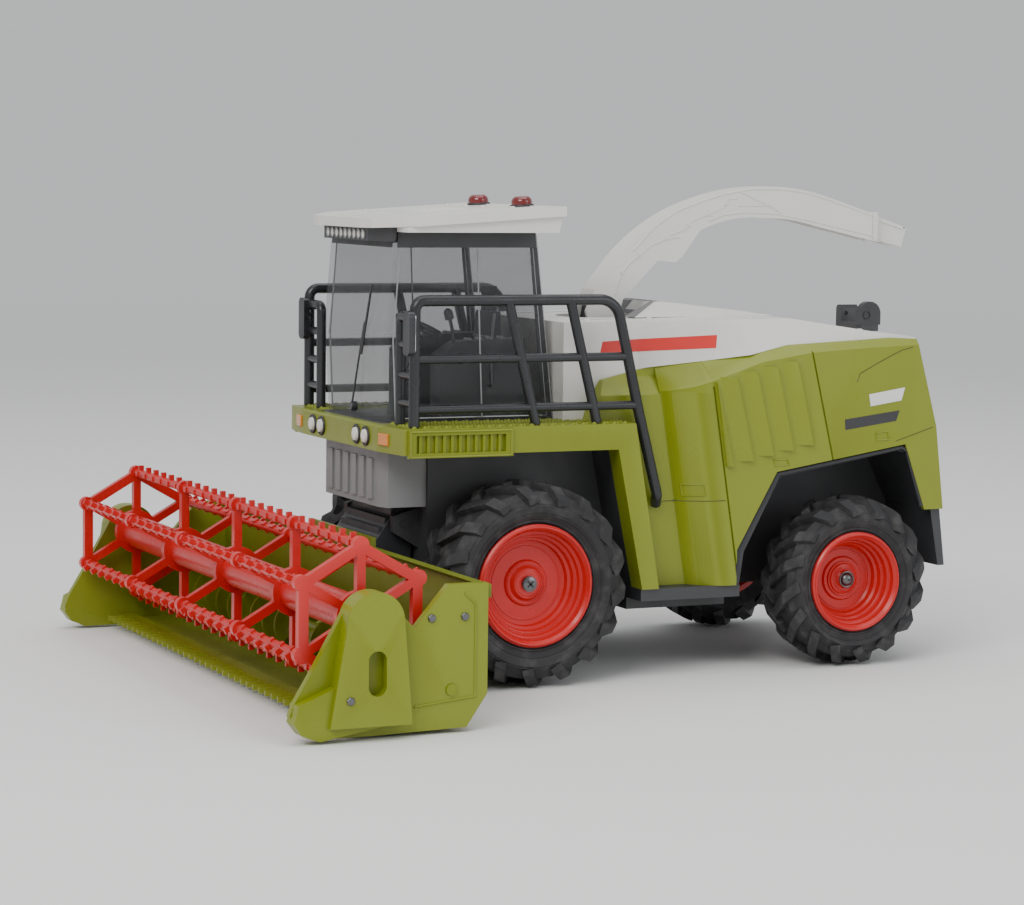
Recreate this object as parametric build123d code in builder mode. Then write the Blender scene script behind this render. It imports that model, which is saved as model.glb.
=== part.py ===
from build123d import *
import math
import os

os.makedirs("parts", exist_ok=True)

# A toy self-propelled harvester with its grain header fitted.
# Millimetres. +Z is up, the machine drives towards -Y, its left side is +X.
# The origin lies on the ground under the middle of the whole machine.
# Profile coordinates run rearward from the front axle and up from the ground.

# Stance
front_axle_y = -35.25
wheelbase = 136.0
running_gap = 0.05
seat_gap = 0.3
plastic_wall = 2.0

# Wheels
front_tyre_radius = 37.5
front_tyre_width = 28.0
front_rim_radius = 22.5
front_wheel_x = 52.0
front_lug_pairs = 17
front_hub_out = 5.0
rear_tyre_radius = 32.5
rear_tyre_width = 22.0
rear_rim_radius = 19.0
rear_wheel_x = 51.5
rear_lug_pairs = 16
rear_hub_out = 1.0
lug_height = 2.6
lug_width = 3.6
lug_skew = 9.0
axle_radius = 2.0
screw_head_radius = 2.8
screw_head_height = 1.2

# Rear steering
kingpin_x = 36.0
kingpin_radius = 1.6
knuckle_radius = 3.6
knuckle_height = 8.0
fork_thickness = 2.6
beam_half_depth = 4.5
steering_arm = 10.0
steering_arm_thickness = 2.4
tie_pin_radius = 1.1
tie_slot_length = 3.9
tie_rod_width = 6.4
tie_rod_thickness = 2.0

# Lower body
pan_half_width = 33.0
pan_bottom = 24.0
pan_top = 85.0
pan_front = -30.0
waist_half_width = 46.0
waist_top = 60.0
tail_half_width = 22.0
tail_bottom = 28.5
sill_top = 33.0
sill_thickness = 4.5
sill_half_width = 56.0
liner_thickness = 2.2
liner_lip = 0.9
liner_lip_width = 3.0
hitch_radius = 2.2
hitch_thickness = 5.0
battery_y = 68.0
door_width = 59.4
door_length = 33.4
switch_x = 0.0
switch_y = 22.0
switch_width = 11.6
switch_length = 5.6

# Upper body
flank_x = 57.5
recess_x = 48.0
shoulder_z = 108.0
shoulder_facet = 1.3
hood_front_y = 21.0
hood_front_half = 40.0
hood_top_z = 131.5
hood_peak_y = 112.0
hood_peak_z = 132.6
hood_edge_x = 48.0
seam_front_z = 113.0
seam_rear_z = 121.5
tail_reach = 36.5
tail_low_z = 90.8
tail_lean = 9.5
tail_top_z = 125.0
tail_bulge = 12.0
tail_panel_half = 32.0
column_slant = 0.16
column_width = 16.5
column_foot_y = 69.0
louvre_count = 5
louvre_pitch = 8.6
louvre_rise = 1.9
louvre_width = 6.8
louvre_climb = 1.8
louvre_lean = 0.242
louvre_start_y = 76.7
louvre_low_z = 78.0
louvre_height = 32.6
groove = 0.8

# Platform and cab
platform_half_width = 57.0
platform_top = 95.0
platform_edge = 9.5
platform_front = -48.0
deck_thickness = 2.0
bumper_thickness = 4.0
lamp_radius = 2.8
leg_top_y = 43.0
leg_foot_y = 53.6
leg_width = 7.0
rail_x = 53.0
rail_radius = 2.0
rail_top_z = 140.5
rail_mid_z = 119.5
rail_low_z = 101.5
rail_lean = 0.25
rail_bend = 8.5
rail_front_y = -44.0
gate_inner_x = 40.0
glass_half_width = 31.5
glass_front_y = -45.0
glass_rear_y = 18.5
glass_lean = 8.0
glass_top_z = 164.5
glass_wall = 1.5
roof_half_width = 45.5
roof_front_y = -53.0
roof_rear_y = 19.0
roof_rear_z = 174.3
roof_drop = 5.0
roof_corner = 16.0
beacon_radius = 3.9
beacon_x = 20.0

# Spout
spout_y = 54.0
spout_pivot_z = 134.0
spout_end_radius = 7.2
spout_width = 11.6
spout_wall = 1.6
spout_arch_y = 127.0
spout_arch_z = 97.5
spout_outer_radius = 84.5
spout_inner_radius = 72.0
flap_start_y = 176.0
spout_tip_y = 190.0
turret_radius = 14.0
cover_thickness = 1.5
well_depth = 8.0
well_gap = 2.0
spigot_radius = 4.0
lift_pin_radius = 1.5

# Header
feeder_half_width = 21.0
feeder_pivot_y = -36.0
feeder_pivot_z = 57.0
header_inner_half = 129.0
header_rear = -50.0
header_floor_z = 2.0
header_skin = 1.6
header_wall_top = 50.0
header_crest = 3.5
header_crest_half = 32.5
auger_radius = 9.4
auger_tube_radius = 4.0
auger_pitch = 13.4
auger_clearance = 1.6
auger_flight = 1.3
reel_y = -92.0
reel_z = 39.5
reel_bar_circle = 24.0
reel_bar_radius = 1.6
reel_tube_radius = 6.3
reel_half_length = 124.0
reel_segments = 4
reel_bars = 6
spider_thickness = 3.0
tines_per_segment = 6
tine_length = 9.0
tine_thickness = 1.5
shield_thickness = 3.0
tower_thickness = 6.0
tower_radius = 10.0
reel_shaft_radius = 2.5
auger_shaft_radius = 2.0
nose_y = -120.0
cutter_pitch = 6.4
cutter_length = 7.0
cutter_thickness = 2.0

# What follows from those sizes
front_axle_z = front_tyre_radius
rear_axle_y = wheelbase
rear_axle_z = rear_tyre_radius
platform_bottom = platform_top - platform_edge
shoulder_slope = (flank_x - hood_edge_x) / (hood_peak_z - shoulder_z)
shoulder_line = [
    (-60, shoulder_z),
    (68, shoulder_z),
    (rear_axle_y - 40, seam_rear_z - 4.6),
    (rear_axle_y - 18.7, seam_rear_z - 1.4),
    (rear_axle_y + 3, seam_rear_z - 0.1),
    (rear_axle_y + 25, seam_rear_z + 0.9),
    (rear_axle_y + 124, seam_rear_z + 2.5),
]
tail_side_y = rear_axle_y + tail_reach
tail_slope = tail_lean / (tail_top_z - tail_low_z)
tail_y = tail_side_y + tail_bulge
arch_path = [
    (rear_axle_y - 50.0, sill_top),
    (rear_axle_y - 50.0, sill_top + 13.3),
    (rear_axle_y - 33.4, rear_tyre_radius * 2 + 10.3),
    (rear_axle_y + 22.8, rear_tyre_radius * 2 + 19.3),
    (rear_axle_y + 32.0, sill_top + 25.7),
    (rear_axle_y + 40.0, sill_top + 3.4),
]


def side_plane(x=0.0):
    """The plane at x, seen from the left: rearward from the front axle, then up."""
    return Plane(origin=(x, front_axle_y, 0), x_dir=(0, 1, 0), z_dir=(1, 0, 0))


def front_plane(y=0.0):
    """The plane y behind the front axle, seen from the front: to the left side, then up."""
    return Plane(origin=(0, front_axle_y + y, 0), x_dir=(1, 0, 0), z_dir=(0, -1, 0))


def plan_plane(z=0.0):
    """The level plane at z: to the left side, then rearward from the front axle."""
    return Plane(origin=(0, front_axle_y, z), x_dir=(1, 0, 0), z_dir=(0, 0, 1))


def finish(builder, name):
    """Label a finished piece and write it."""
    builder.part.label = name
    export_step(builder.part, "parts/" + name + ".step")


def finish_mirrored(builder, name):
    """Write the same piece for the right side."""
    with BuildPart() as other:
        mirror(builder.part, about=Plane.YZ)
    finish(other, name)


def prism(plane, points, amount, direction=None):
    """A straight solid raised from a closed outline on a plane."""
    with BuildPart() as solid:
        with BuildSketch(plane):
            with BuildLine():
                Polyline(*points, close=True)
            make_face()
        extrude(amount=amount, dir=direction)
    return solid.part


def side_bar(points, x_low, x_high):
    """A solid with a side outline, reaching from x_low to x_high."""
    return prism(side_plane(x_low), points, x_high - x_low)


def cross_rod(y, z, radius, x_low, x_high):
    """A round bar lying across the machine."""
    with BuildPart() as rod:
        with BuildSketch(side_plane(x_low)):
            with Locations((y, z)):
                Circle(radius)
        extrude(amount=x_high - x_low)
    return rod.part


def upright_rod(x, y, radius, z_low, z_high):
    """A round bar standing up."""
    with BuildPart() as rod:
        with BuildSketch(plan_plane(z_low)):
            with Locations((x, y)):
                Circle(radius)
        extrude(amount=z_high - z_low)
    return rod.part


def wheel_plane(x, y, z):
    """The upright plane through a wheel's axle: outward, then up from the axle."""
    return Plane(origin=(x, front_axle_y + y, z), x_dir=(1, 0, 0), z_dir=(0, -1, 0))


# Wheels
def make_tyre(x, y, z, radius, width, rim_radius, pairs):
    """A farm tyre: a carcass with two staggered rows of slanting lugs."""
    carcass = radius - lug_height
    half = width / 2
    bead = half * 0.74
    plane = wheel_plane(x, y, z)
    axis = Axis((x, front_axle_y + y, z), (1, 0, 0))
    with BuildPart() as trim:
        with BuildSketch(plane):
            with BuildLine():
                Polyline(
                    (-half, carcass - 7),
                    (-half, radius - 5),
                    (-half + 3, radius - 0.8),
                    (0, radius),
                    (half - 3, radius - 0.8),
                    (half, radius - 5),
                    (half, carcass - 7),
                    close=True,
                )
            make_face()
        revolve(axis=axis)
    with BuildPart() as lug:
        with BuildSketch(plane.rotated((-90, 0, 0)).offset(carcass - 6)):
            with BuildLine():
                Polyline(
                    (-0.6, -lug_width / 2),
                    (half, lug_skew - lug_width / 2),
                    (half, lug_skew + lug_width / 2 + 0.8),
                    (-0.6, lug_width / 2),
                    close=True,
                )
            make_face()
        extrude(amount=lug_height + 8)
    with BuildPart() as other_lug:
        mirror(lug.part, about=Plane.YZ.offset(x))
    step = 360 / pairs
    with BuildPart() as tyre:
        for turn in range(pairs):
            add(lug.part.rotate(axis, turn * step))
            add(other_lug.part.rotate(axis, (turn + 0.5) * step))
        add(trim.part, mode=Mode.INTERSECT)
        with BuildSketch(plane):
            with BuildLine():
                Polyline(
                    (-bead, rim_radius),
                    (-half + 0.8, rim_radius + 4.5),
                    (-half + 0.4, carcass - 5.5),
                    (-half + 3.6, carcass - 0.7),
                    (0, carcass),
                    (half - 3.6, carcass - 0.7),
                    (half - 0.4, carcass - 5.5),
                    (half - 0.8, rim_radius + 4.5),
                    (bead, rim_radius),
                    close=True,
                )
            make_face()
        revolve(axis=axis)
    return tyre


def make_rim(x, y, z, width, radius, hub_out, capped):
    """A deep-dished moulded rim: a rolled lip, steps down to the dish and a ringed hub."""
    bead = width * 0.37 + 1.6
    hub_back = hub_out - 10.0
    dish = hub_out - 2.6
    bore = axle_radius + running_gap
    floor_radius = radius * 0.64
    tread = (radius - 2.2 - floor_radius) / 4
    drop = (bead - 0.6 - dish) / 4
    axis = Axis((x, front_axle_y + y, z), (1, 0, 0))
    steps = []
    for index in range(4):
        step_radius = radius - 2.2 - tread * index
        step_x = bead - 0.6 - drop * index
        steps.append((step_x, step_radius))
        steps.append((step_x - drop * 0.75, step_radius - tread * 0.3))
    with BuildPart() as rim:
        with BuildSketch(wheel_plane(x, y, z)):
            with BuildLine():
                Polyline(
                    (bead, radius),
                    (bead + 0.9, radius - 0.9),
                    *steps,
                    (dish, floor_radius),
                    (dish, 8.6),
                    (dish + 0.9, 8.0),
                    (dish + 0.9, 6.6),
                    (hub_out - 0.5, 5.6),
                    (hub_out, 4.4),
                    (hub_out, bore),
                    (hub_back, bore),
                    (hub_back, 4.6),
                    (dish - 2.4, 6.2),
                    (dish - 2.0, floor_radius + 0.6),
                    (-bead, radius - 2.0),
                    (-bead, radius),
                    close=True,
                )
            make_face()
        revolve(axis=axis)
        if capped:
            with BuildSketch(wheel_plane(x, y, z)):
                with BuildLine():
                    crown = Line((hub_out + 1.5, 0), (hub_out + 1.1, 2.4))
                    Line(crown @ 1, (hub_out - 0.4, 4.0))
                    Line((hub_out - 0.4, 4.0), (hub_out - 0.4, 0))
                    Line((hub_out - 0.4, 0), crown @ 0)
                make_face()
            revolve(axis=axis)
    return rim


front_wheel = (front_wheel_x, 0.0, front_axle_z)
rear_wheel = (rear_wheel_x, rear_axle_y, rear_axle_z)

front_tyre = make_tyre(
    *front_wheel, front_tyre_radius, front_tyre_width, front_rim_radius, front_lug_pairs
)
finish(front_tyre, "front_left_tyre")
finish_mirrored(front_tyre, "front_right_tyre")

front_rim = make_rim(*front_wheel, front_tyre_width, front_rim_radius, front_hub_out, False)
finish(front_rim, "front_left_rim")
finish_mirrored(front_rim, "front_right_rim")

rear_tyre = make_tyre(
    *rear_wheel, rear_tyre_radius, rear_tyre_width, rear_rim_radius, rear_lug_pairs
)
finish(rear_tyre, "rear_left_tyre")
finish_mirrored(rear_tyre, "rear_right_tyre")

rear_rim = make_rim(*rear_wheel, rear_tyre_width, rear_rim_radius, rear_hub_out, True)
finish(rear_rim, "rear_left_rim")
finish_mirrored(rear_rim, "rear_right_rim")

# Front axle: one steel shaft with a screw head outside each hub
front_hub_face = front_wheel_x + front_hub_out + seat_gap
with BuildPart() as front_axle:
    add(cross_rod(0, front_axle_z, axle_radius, -front_hub_face, front_hub_face))
    for side in (-1, 1):
        face_x = side * front_hub_face
        head_x = face_x + side * screw_head_height
        add(
            cross_rod(
                0, front_axle_z, screw_head_radius, min(face_x, head_x), max(face_x, head_x)
            )
        )
finish(front_axle, "front_axle")

# Rear axle: a fixed beam with a fork at each end
knuckle_low = rear_axle_z - knuckle_height / 2
knuckle_high = rear_axle_z + knuckle_height / 2
fork_low = knuckle_low - seat_gap
fork_high = knuckle_high + seat_gap
fork_reach = kingpin_x + knuckle_radius + 0.6
web_reach = kingpin_x - knuckle_radius - 2.9
with BuildPart() as rear_axle_beam:
    with BuildSketch(plan_plane(fork_low - fork_thickness)):
        with Locations((0, rear_axle_y)):
            Rectangle(fork_reach * 2, beam_half_depth * 2)
    extrude(amount=fork_thickness)
    with BuildSketch(plan_plane(fork_high)):
        with Locations((0, rear_axle_y)):
            Rectangle(fork_reach * 2, beam_half_depth * 2)
    extrude(amount=fork_thickness)
    with BuildSketch(plan_plane(fork_low)):
        with Locations((0, rear_axle_y)):
            Rectangle(web_reach * 2, beam_half_depth * 2)
    extrude(amount=fork_high - fork_low)
    fillet(rear_axle_beam.edges().filter_by(Axis.Z).group_by(Axis.X)[0], 3.0)
    fillet(rear_axle_beam.edges().filter_by(Axis.Z).group_by(Axis.X)[-1], 3.0)
    for side in (-1, 1):
        add(
            upright_rod(
                side * kingpin_x,
                rear_axle_y,
                kingpin_radius + running_gap,
                fork_low - fork_thickness - 1,
                fork_high + fork_thickness + 1,
            ),
            mode=Mode.SUBTRACT,
        )
finish(rear_axle_beam, "rear_axle_beam")

# Steering knuckle with its stub axle, kingpin and arm
rear_hub_back = rear_wheel_x + rear_hub_out - 10.0
stub_end = rear_wheel_x + rear_hub_out - 0.4 - seat_gap
arm_low = knuckle_low
tie_rod_top = fork_low - 1.0
arm_pin_x = kingpin_x - 1.5
arm_pin_y = rear_axle_y + steering_arm
with BuildPart() as knuckle:
    add(upright_rod(kingpin_x, rear_axle_y, knuckle_radius, knuckle_low, knuckle_high))
    add(
        upright_rod(
            kingpin_x,
            rear_axle_y,
            kingpin_radius,
            fork_low - fork_thickness - 0.5,
            fork_high + fork_thickness + 0.5,
        )
    )
    add(cross_rod(rear_axle_y, rear_axle_z, axle_radius, kingpin_x, stub_end))
    add(cross_rod(rear_axle_y, rear_axle_z, 3.1, kingpin_x, rear_hub_back - seat_gap))
    with BuildSketch(plan_plane(arm_low)):
        with BuildLine():
            Polyline(
                (kingpin_x - 2.2, rear_axle_y),
                (arm_pin_x - 1.9, arm_pin_y + 1.9),
                (arm_pin_x + 1.9, arm_pin_y + 1.9),
                (kingpin_x + 2.2, rear_axle_y),
                close=True,
            )
        make_face()
    extrude(amount=steering_arm_thickness)
    add(
        upright_rod(
            arm_pin_x,
            arm_pin_y,
            tie_pin_radius,
            tie_rod_top - tie_rod_thickness - 0.6,
            arm_low,
        )
    )
finish(knuckle, "rear_left_knuckle")
finish_mirrored(knuckle, "rear_right_knuckle")

# Track rod between the two steering arms, with a slotted eye at each end
with BuildPart() as tie_rod:
    with BuildSketch(plan_plane(tie_rod_top - tie_rod_thickness)):
        with Locations((0, arm_pin_y)):
            Rectangle(arm_pin_x * 2, 3.4)
        with Locations((-arm_pin_x, arm_pin_y), (arm_pin_x, arm_pin_y)):
            RectangleRounded(5.2, tie_rod_width, 2.0)
        with Locations((-arm_pin_x, arm_pin_y), (arm_pin_x, arm_pin_y)):
            SlotOverall(
                tie_slot_length, (tie_pin_radius + 0.15) * 2, rotation=90, mode=Mode.SUBTRACT
            )
    extrude(amount=tie_rod_thickness)
finish(tie_rod, "tie_rod")

# Lower body: the black pan that everything stands on
well_wall = [
    (leg_top_y - leg_width, platform_bottom),
    (leg_top_y - leg_width + 2.5, platform_bottom),
    (leg_foot_y - leg_width + 2.5, sill_top),
    (leg_foot_y - leg_width, sill_top),
]
arch_foot_y = arch_path[0][0]
waist_rear = arch_foot_y + liner_thickness
with BuildPart() as chassis_pan:
    add(
        side_bar(
            [
                (pan_front, pan_top),
                (pan_front, pan_bottom + 14),
                (pan_front + 9, pan_bottom),
                (leg_foot_y, pan_bottom),
                (leg_foot_y, waist_top),
                (leg_top_y - leg_width, pan_top),
            ],
            -pan_half_width,
            pan_half_width,
        )
    )
    add(
        side_bar(
            [
                (leg_foot_y - leg_width, pan_bottom),
                (waist_rear, pan_bottom),
                (waist_rear, sill_top),
                (arch_foot_y, sill_top),
                (arch_foot_y, waist_top),
                (leg_foot_y - leg_width, waist_top),
            ],
            -waist_half_width + plastic_wall,
            waist_half_width - plastic_wall,
        )
    )
    with BuildSketch(plan_plane(sill_top - sill_thickness)):
        with BuildLine():
            Polyline(
                (-sill_half_width, leg_foot_y - leg_width),
                (sill_half_width, leg_foot_y - leg_width),
                (sill_half_width, waist_rear),
                (-sill_half_width, waist_rear),
                close=True,
            )
        make_face()
    extrude(amount=sill_thickness)
    add(side_bar(well_wall, -recess_x, recess_x))
    tail_outline = [(arch_foot_y, tail_bottom)] + arch_path[1:4]
    tail_outline += [
        (arch_path[3][0] + 4, arch_path[3][1] - 1),
        (arch_path[4][0] + 6, arch_path[4][1]),
        (tail_y - 6, arch_path[5][1] + 2),
        (tail_y - 6, tail_bottom),
    ]
    add(side_bar(tail_outline, -tail_half_width, tail_half_width))
    with BuildSketch(plan_plane(tail_bottom)):
        with Locations((0, rear_axle_y)):
            Rectangle(tail_half_width * 2, beam_half_depth * 2)
    extrude(amount=fork_high + fork_thickness - tail_bottom, mode=Mode.SUBTRACT)
    add(
        cross_rod(0, front_axle_z, axle_radius + running_gap, -pan_half_width, pan_half_width),
        mode=Mode.SUBTRACT,
    )
    for side in (-1, 1):
        ear_x = side * (feeder_half_width + 2.2)
        ear = [
            (pan_front, feeder_pivot_z + 6),
            (feeder_pivot_y - 4, feeder_pivot_z + 3),
            (feeder_pivot_y - 4, feeder_pivot_z - 3),
            (pan_front, feeder_pivot_z - 9),
        ]
        add(side_bar(ear, ear_x - 1.7, ear_x + 1.7))
        add(
            cross_rod(
                feeder_pivot_y,
                feeder_pivot_z,
                lift_pin_radius + running_gap,
                ear_x - 2,
                ear_x + 2,
            ),
            mode=Mode.SUBTRACT,
        )
    with BuildSketch(plan_plane(pan_bottom)):
        with Locations((0, battery_y)):
            Rectangle(door_width + 0.6, door_length + 0.6)
        with Locations((switch_x, switch_y)):
            Rectangle(switch_width + 0.4, switch_length + 0.4)
    extrude(amount=2.3, mode=Mode.SUBTRACT)
    with BuildSketch(plan_plane(pan_bottom)):
        with Locations((0, battery_y)):
            Rectangle(door_width - 2.4, door_length - 2.4)
    extrude(amount=19.5, mode=Mode.SUBTRACT)
finish(chassis_pan, "chassis_pan")


# Upper body
def hood_x_at(z):
    """How far out the hood's sloping side stands at this height."""
    return hood_edge_x + (hood_peak_z - z) * 0.45


def flank_outside(inset):
    """What lies outside the left flank: the shoulder facet over it climbs to the rear."""
    x = flank_x - inset
    with BuildPart() as cutter:
        for y, z in shoulder_line:
            with BuildSketch(front_plane(y)):
                with BuildLine():
                    Polyline(
                        (x, z),
                        (x - shoulder_facet * 20, z + 20),
                        (90, z + 20),
                        (90, z),
                        close=True,
                    )
                make_face()
        loft(ruled=True)
    return cutter.part


def hood_outside(inset):
    """What lies outside the hood: narrow beside the cab, wide over the flank."""
    low_z = platform_top - 1
    top_z = hood_peak_z + 2
    with BuildPart() as cutter:
        for z in (low_z, top_z):
            wide = hood_x_at(z) - inset
            narrow = hood_front_half - inset
            with BuildSketch(plan_plane(z)):
                with BuildLine():
                    Polyline(
                        (narrow, 10),
                        (narrow, spout_y - 2),
                        (wide, spout_y + 38),
                        (wide, 220),
                        (90, 220),
                        (90, 10),
                        close=True,
                    )
                make_face()
        loft(ruled=True)
    return cutter.part


def column_plan(inset, y):
    """Plan of the hollow ahead of the column: flat recess, then a bulging column front."""
    x = recess_x - inset
    x_rear = flank_x - inset + 0.3
    with BuildSketch(Plane.XY, mode=Mode.PRIVATE) as plan:
        with BuildLine():
            Polyline((90, y + column_width), (90, -40), (x, -40), (x, y))
            ThreePointArc((x, y), (x + 6.6, y + 6.0), (x_rear, y + column_width))
            Line((x_rear, y + column_width), (90, y + column_width))
        make_face()
    return plan.sketch


def recess_outside(inset):
    """The hollow ahead of the slanting column on the left side."""
    low_z = sill_top - 20
    crease_z = shoulder_z - 1
    low_y = column_foot_y + 20 * column_slant
    crease_y = low_y - (crease_z - low_z) * column_slant
    with BuildPart() as cutter:
        with BuildSketch(plan_plane(low_z)):
            add(column_plan(inset, low_y))
        extrude(amount=crease_z - low_z, dir=(0, -column_slant, 1))
        with BuildSketch(plan_plane(crease_z)):
            add(column_plan(inset, crease_y))
        extrude(amount=14, dir=(-shoulder_slope, -column_slant, 1))
    return cutter.part


def recess_shoulder(inset):
    """The steep chamfer above the recess, ahead of the column."""
    low_z = shoulder_z - 3.3
    section = [
        (recess_x - inset, low_z),
        (recess_x - 10 - inset, low_z + 10),
        (90, low_z + 10),
        (90, low_z),
    ]
    valley = column_foot_y + (sill_top - low_z) * column_slant
    lean = column_slant * 10
    with BuildPart() as cutter:
        add(prism(front_plane(-10), section, -(valley + 10)))
        behind = [
            (valley, low_z - 1),
            (valley + 5, low_z - 1),
            (valley + 5, low_z + 12),
            (valley - lean, low_z + 12),
        ]
        add(side_bar(behind, 0, 95), mode=Mode.SUBTRACT)
    return cutter.part


def tail_outside(inset):
    """What lies behind the bowed tail."""
    y = tail_side_y - inset
    with BuildPart() as cutter:
        with BuildSketch(plan_plane(tail_low_z)):
            with BuildLine():
                Polyline((flank_x, y), (90, y), (90, y + 90), (-90, y + 90), (-90, y), (-flank_x, y))
                ThreePointArc((-flank_x, y), (0, y + tail_bulge), (flank_x, y))
            make_face()
        extrude(amount=60, dir=(0, -tail_slope, 1))
        extrude(cutter.faces().sort_by(Axis.Z)[0], amount=60, dir=(0, 0.12, -1))
    return cutter.part


seam = [
    (hood_front_y + 8, platform_top),
    (hood_front_y + 10.5, platform_top + 8),
    (hood_front_y + 15, seam_front_z - 3),
    (spout_y + 1, seam_front_z + 1.4),
    (rear_axle_y - 44, seam_front_z + 6.3),
    (rear_axle_y - 27.4, seam_rear_z + 1.3),
    (rear_axle_y + 18, tail_top_z),
    (rear_axle_y + 60, tail_top_z - 2),
]
shell_outline = list(reversed(seam)) + [
    (leg_top_y, platform_top),
    (leg_top_y, platform_top - deck_thickness - 0.1),
    (leg_top_y - 3.2, platform_top - deck_thickness - 0.1),
    (leg_foot_y - 3.6, sill_top),
]
shell_outline += arch_path[:5]
shell_outline += [(rear_axle_y + 60, arch_path[4][1])]
side_wall = flank_outside(0)
side_wall_inner = flank_outside(plastic_wall)
hood_wall = hood_outside(0)
hood_wall_inner = hood_outside(plastic_wall)
chamfer_cut = recess_shoulder(0)
chamfer_inner = recess_shoulder(plastic_wall)
recess = recess_outside(0)
recess_inner = recess_outside(plastic_wall)
tail_end = tail_outside(0)
tail_end_inner = tail_outside(plastic_wall)
louvre_trim = flank_outside(-louvre_rise)

inner_outline = [
    (hood_front_y + 10.2, platform_top - 15),
    (hood_front_y + 12.7, platform_top + 8),
    (hood_front_y + 16.2, seam_front_z - 4.6),
    (spout_y + 1, seam_front_z - 0.6),
    (rear_axle_y - 52, seam_front_z + 3.2),
    (rear_axle_y - 52, hood_peak_z + 10),
    (rear_axle_y + 60, hood_peak_z + 10),
    (rear_axle_y + 60, 0),
    (hood_front_y + 10.2, 0),
]
with BuildPart() as shell_inside:
    add(side_bar(inner_outline, 0, flank_x - plastic_wall))
    add(side_wall_inner, mode=Mode.SUBTRACT)
    add(chamfer_inner, mode=Mode.SUBTRACT)
    add(recess_inner, mode=Mode.SUBTRACT)
    add(tail_end_inner, mode=Mode.SUBTRACT)

groove_y = column_foot_y + column_width + 2.2
ahead_of_groove = [
    (0, sill_top),
    (groove_y, sill_top),
    (groove_y - column_slant * 100, sill_top + 100),
    (0, sill_top + 100),
]

# Side shell: recess, slanting column, louvres and the skirt over the rear wheel
with BuildPart() as side_shell:
    add(side_bar(shell_outline, tail_panel_half + 0.1, flank_x))
    add(side_wall, mode=Mode.SUBTRACT)
    add(chamfer_cut, mode=Mode.SUBTRACT)
    add(recess, mode=Mode.SUBTRACT)
    add(tail_end, mode=Mode.SUBTRACT)
    add(shell_inside.part, mode=Mode.SUBTRACT)
    front_clear = [(0, 40), (60, 40), (60, 140), (0, 140)]
    add(side_bar(front_clear, 0, hood_front_half + 0.1), mode=Mode.SUBTRACT)
    for index in range(louvre_count):
        y = louvre_start_y + index * louvre_pitch
        z = louvre_low_z + index * louvre_climb
        blade = [
            (flank_x - 1.2, y),
            (flank_x, y),
            (flank_x + louvre_rise, y + louvre_width * 0.86),
            (flank_x + louvre_rise - 0.5, y + louvre_width),
            (flank_x - 1.2, y + louvre_width),
        ]
        with BuildPart() as louvre:
            add(prism(plan_plane(z), blade, louvre_height, (0, -louvre_lean, 1)))
            add(louvre_trim, mode=Mode.SUBTRACT)
            add(side_bar(ahead_of_groove, 40, 90), mode=Mode.SUBTRACT)
        add(louvre.part)
    for y, z_low, z_high, lean in (
        (column_foot_y + column_width + 1.0, sill_top, shoulder_z, column_slant),
        (rear_axle_y - 9.6, sill_top + 46, shoulder_z + 14.5, louvre_lean),
    ):
        line = [
            (y, z_low),
            (y + groove, z_low),
            (y + groove - (z_high - z_low) * lean, z_high),
            (y - (z_high - z_low) * lean, z_high),
        ]
        add(side_bar(line, flank_x - groove, flank_x + 0.2), mode=Mode.SUBTRACT)
finish(side_shell, "side_shell_left")
finish_mirrored(side_shell, "side_shell_right")

# Inner arch over the rear wheel, with its lip and the black foot behind the wheel
leg_outer = [
    (tail_side_y - 4.6, tail_low_z - 8),
    (tail_side_y + 1.2, arch_path[4][1] - 0.1),
    (tail_side_y + 3.6, arch_path[4][1] - 0.1),
    (tail_side_y + 6.4, arch_path[5][1]),
]
with BuildPart() as arch_liner:
    with BuildSketch(side_plane(tail_half_width + 0.1)):
        with BuildLine():
            Polyline(
                (arch_foot_y + 0.1, sill_top + 0.1),
                (arch_foot_y + 0.1, arch_path[1][1]),
                (arch_path[2][0], arch_path[2][1] - 0.1),
                (arch_path[3][0], arch_path[3][1] - 0.1),
                (arch_path[3][0] + 8, arch_path[3][1] - 1),
                *leg_outer,
                arch_path[5],
                (arch_path[4][0] + 4.0, arch_path[4][1]),
                (arch_path[3][0] + 2.5, arch_path[3][1] - liner_thickness - 2),
                (arch_path[3][0] - 2, arch_path[3][1] - liner_thickness - 0.4),
                (arch_path[2][0] + 2.4, arch_path[2][1] - liner_thickness),
                (arch_foot_y + liner_thickness + 1.8, arch_path[1][1] - 1),
                (arch_foot_y + liner_thickness, sill_top + 0.1),
                close=True,
            )
        make_face()
    extrude(amount=flank_x - plastic_wall - 0.2 - tail_half_width)
finish(arch_liner, "arch_liner_left")
finish_mirrored(arch_liner, "arch_liner_right")

# Engine hood with the round well for the spout turret
hood_outline = [
    (hood_front_y, platform_top),
    *seam,
    (rear_axle_y + 60, tail_top_z - 1),
    (tail_side_y - tail_lean, tail_top_z),
    (hood_peak_y, hood_peak_z),
    (hood_front_y, hood_top_z),
]
hood_inside_outline = [
    (hood_front_y + plastic_wall, 0),
    (rear_axle_y + 60, 0),
    (rear_axle_y + 60, tail_top_z - 1 - plastic_wall),
    (tail_side_y - tail_lean, tail_top_z - plastic_wall),
    (hood_peak_y, hood_peak_z - plastic_wall),
    (hood_front_y + plastic_wall, hood_top_z - plastic_wall),
]
with BuildPart() as hood_inside:
    add(side_bar(hood_inside_outline, 0, flank_x))
    add(hood_wall_inner, mode=Mode.SUBTRACT)
    add(tail_end_inner, mode=Mode.SUBTRACT)
with BuildPart() as hood_half:
    add(side_bar(hood_outline, 0, flank_x))
    add(hood_wall, mode=Mode.SUBTRACT)
    add(tail_end, mode=Mode.SUBTRACT)
    add(hood_inside.part, mode=Mode.SUBTRACT)
well_floor = hood_top_z - well_depth
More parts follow.
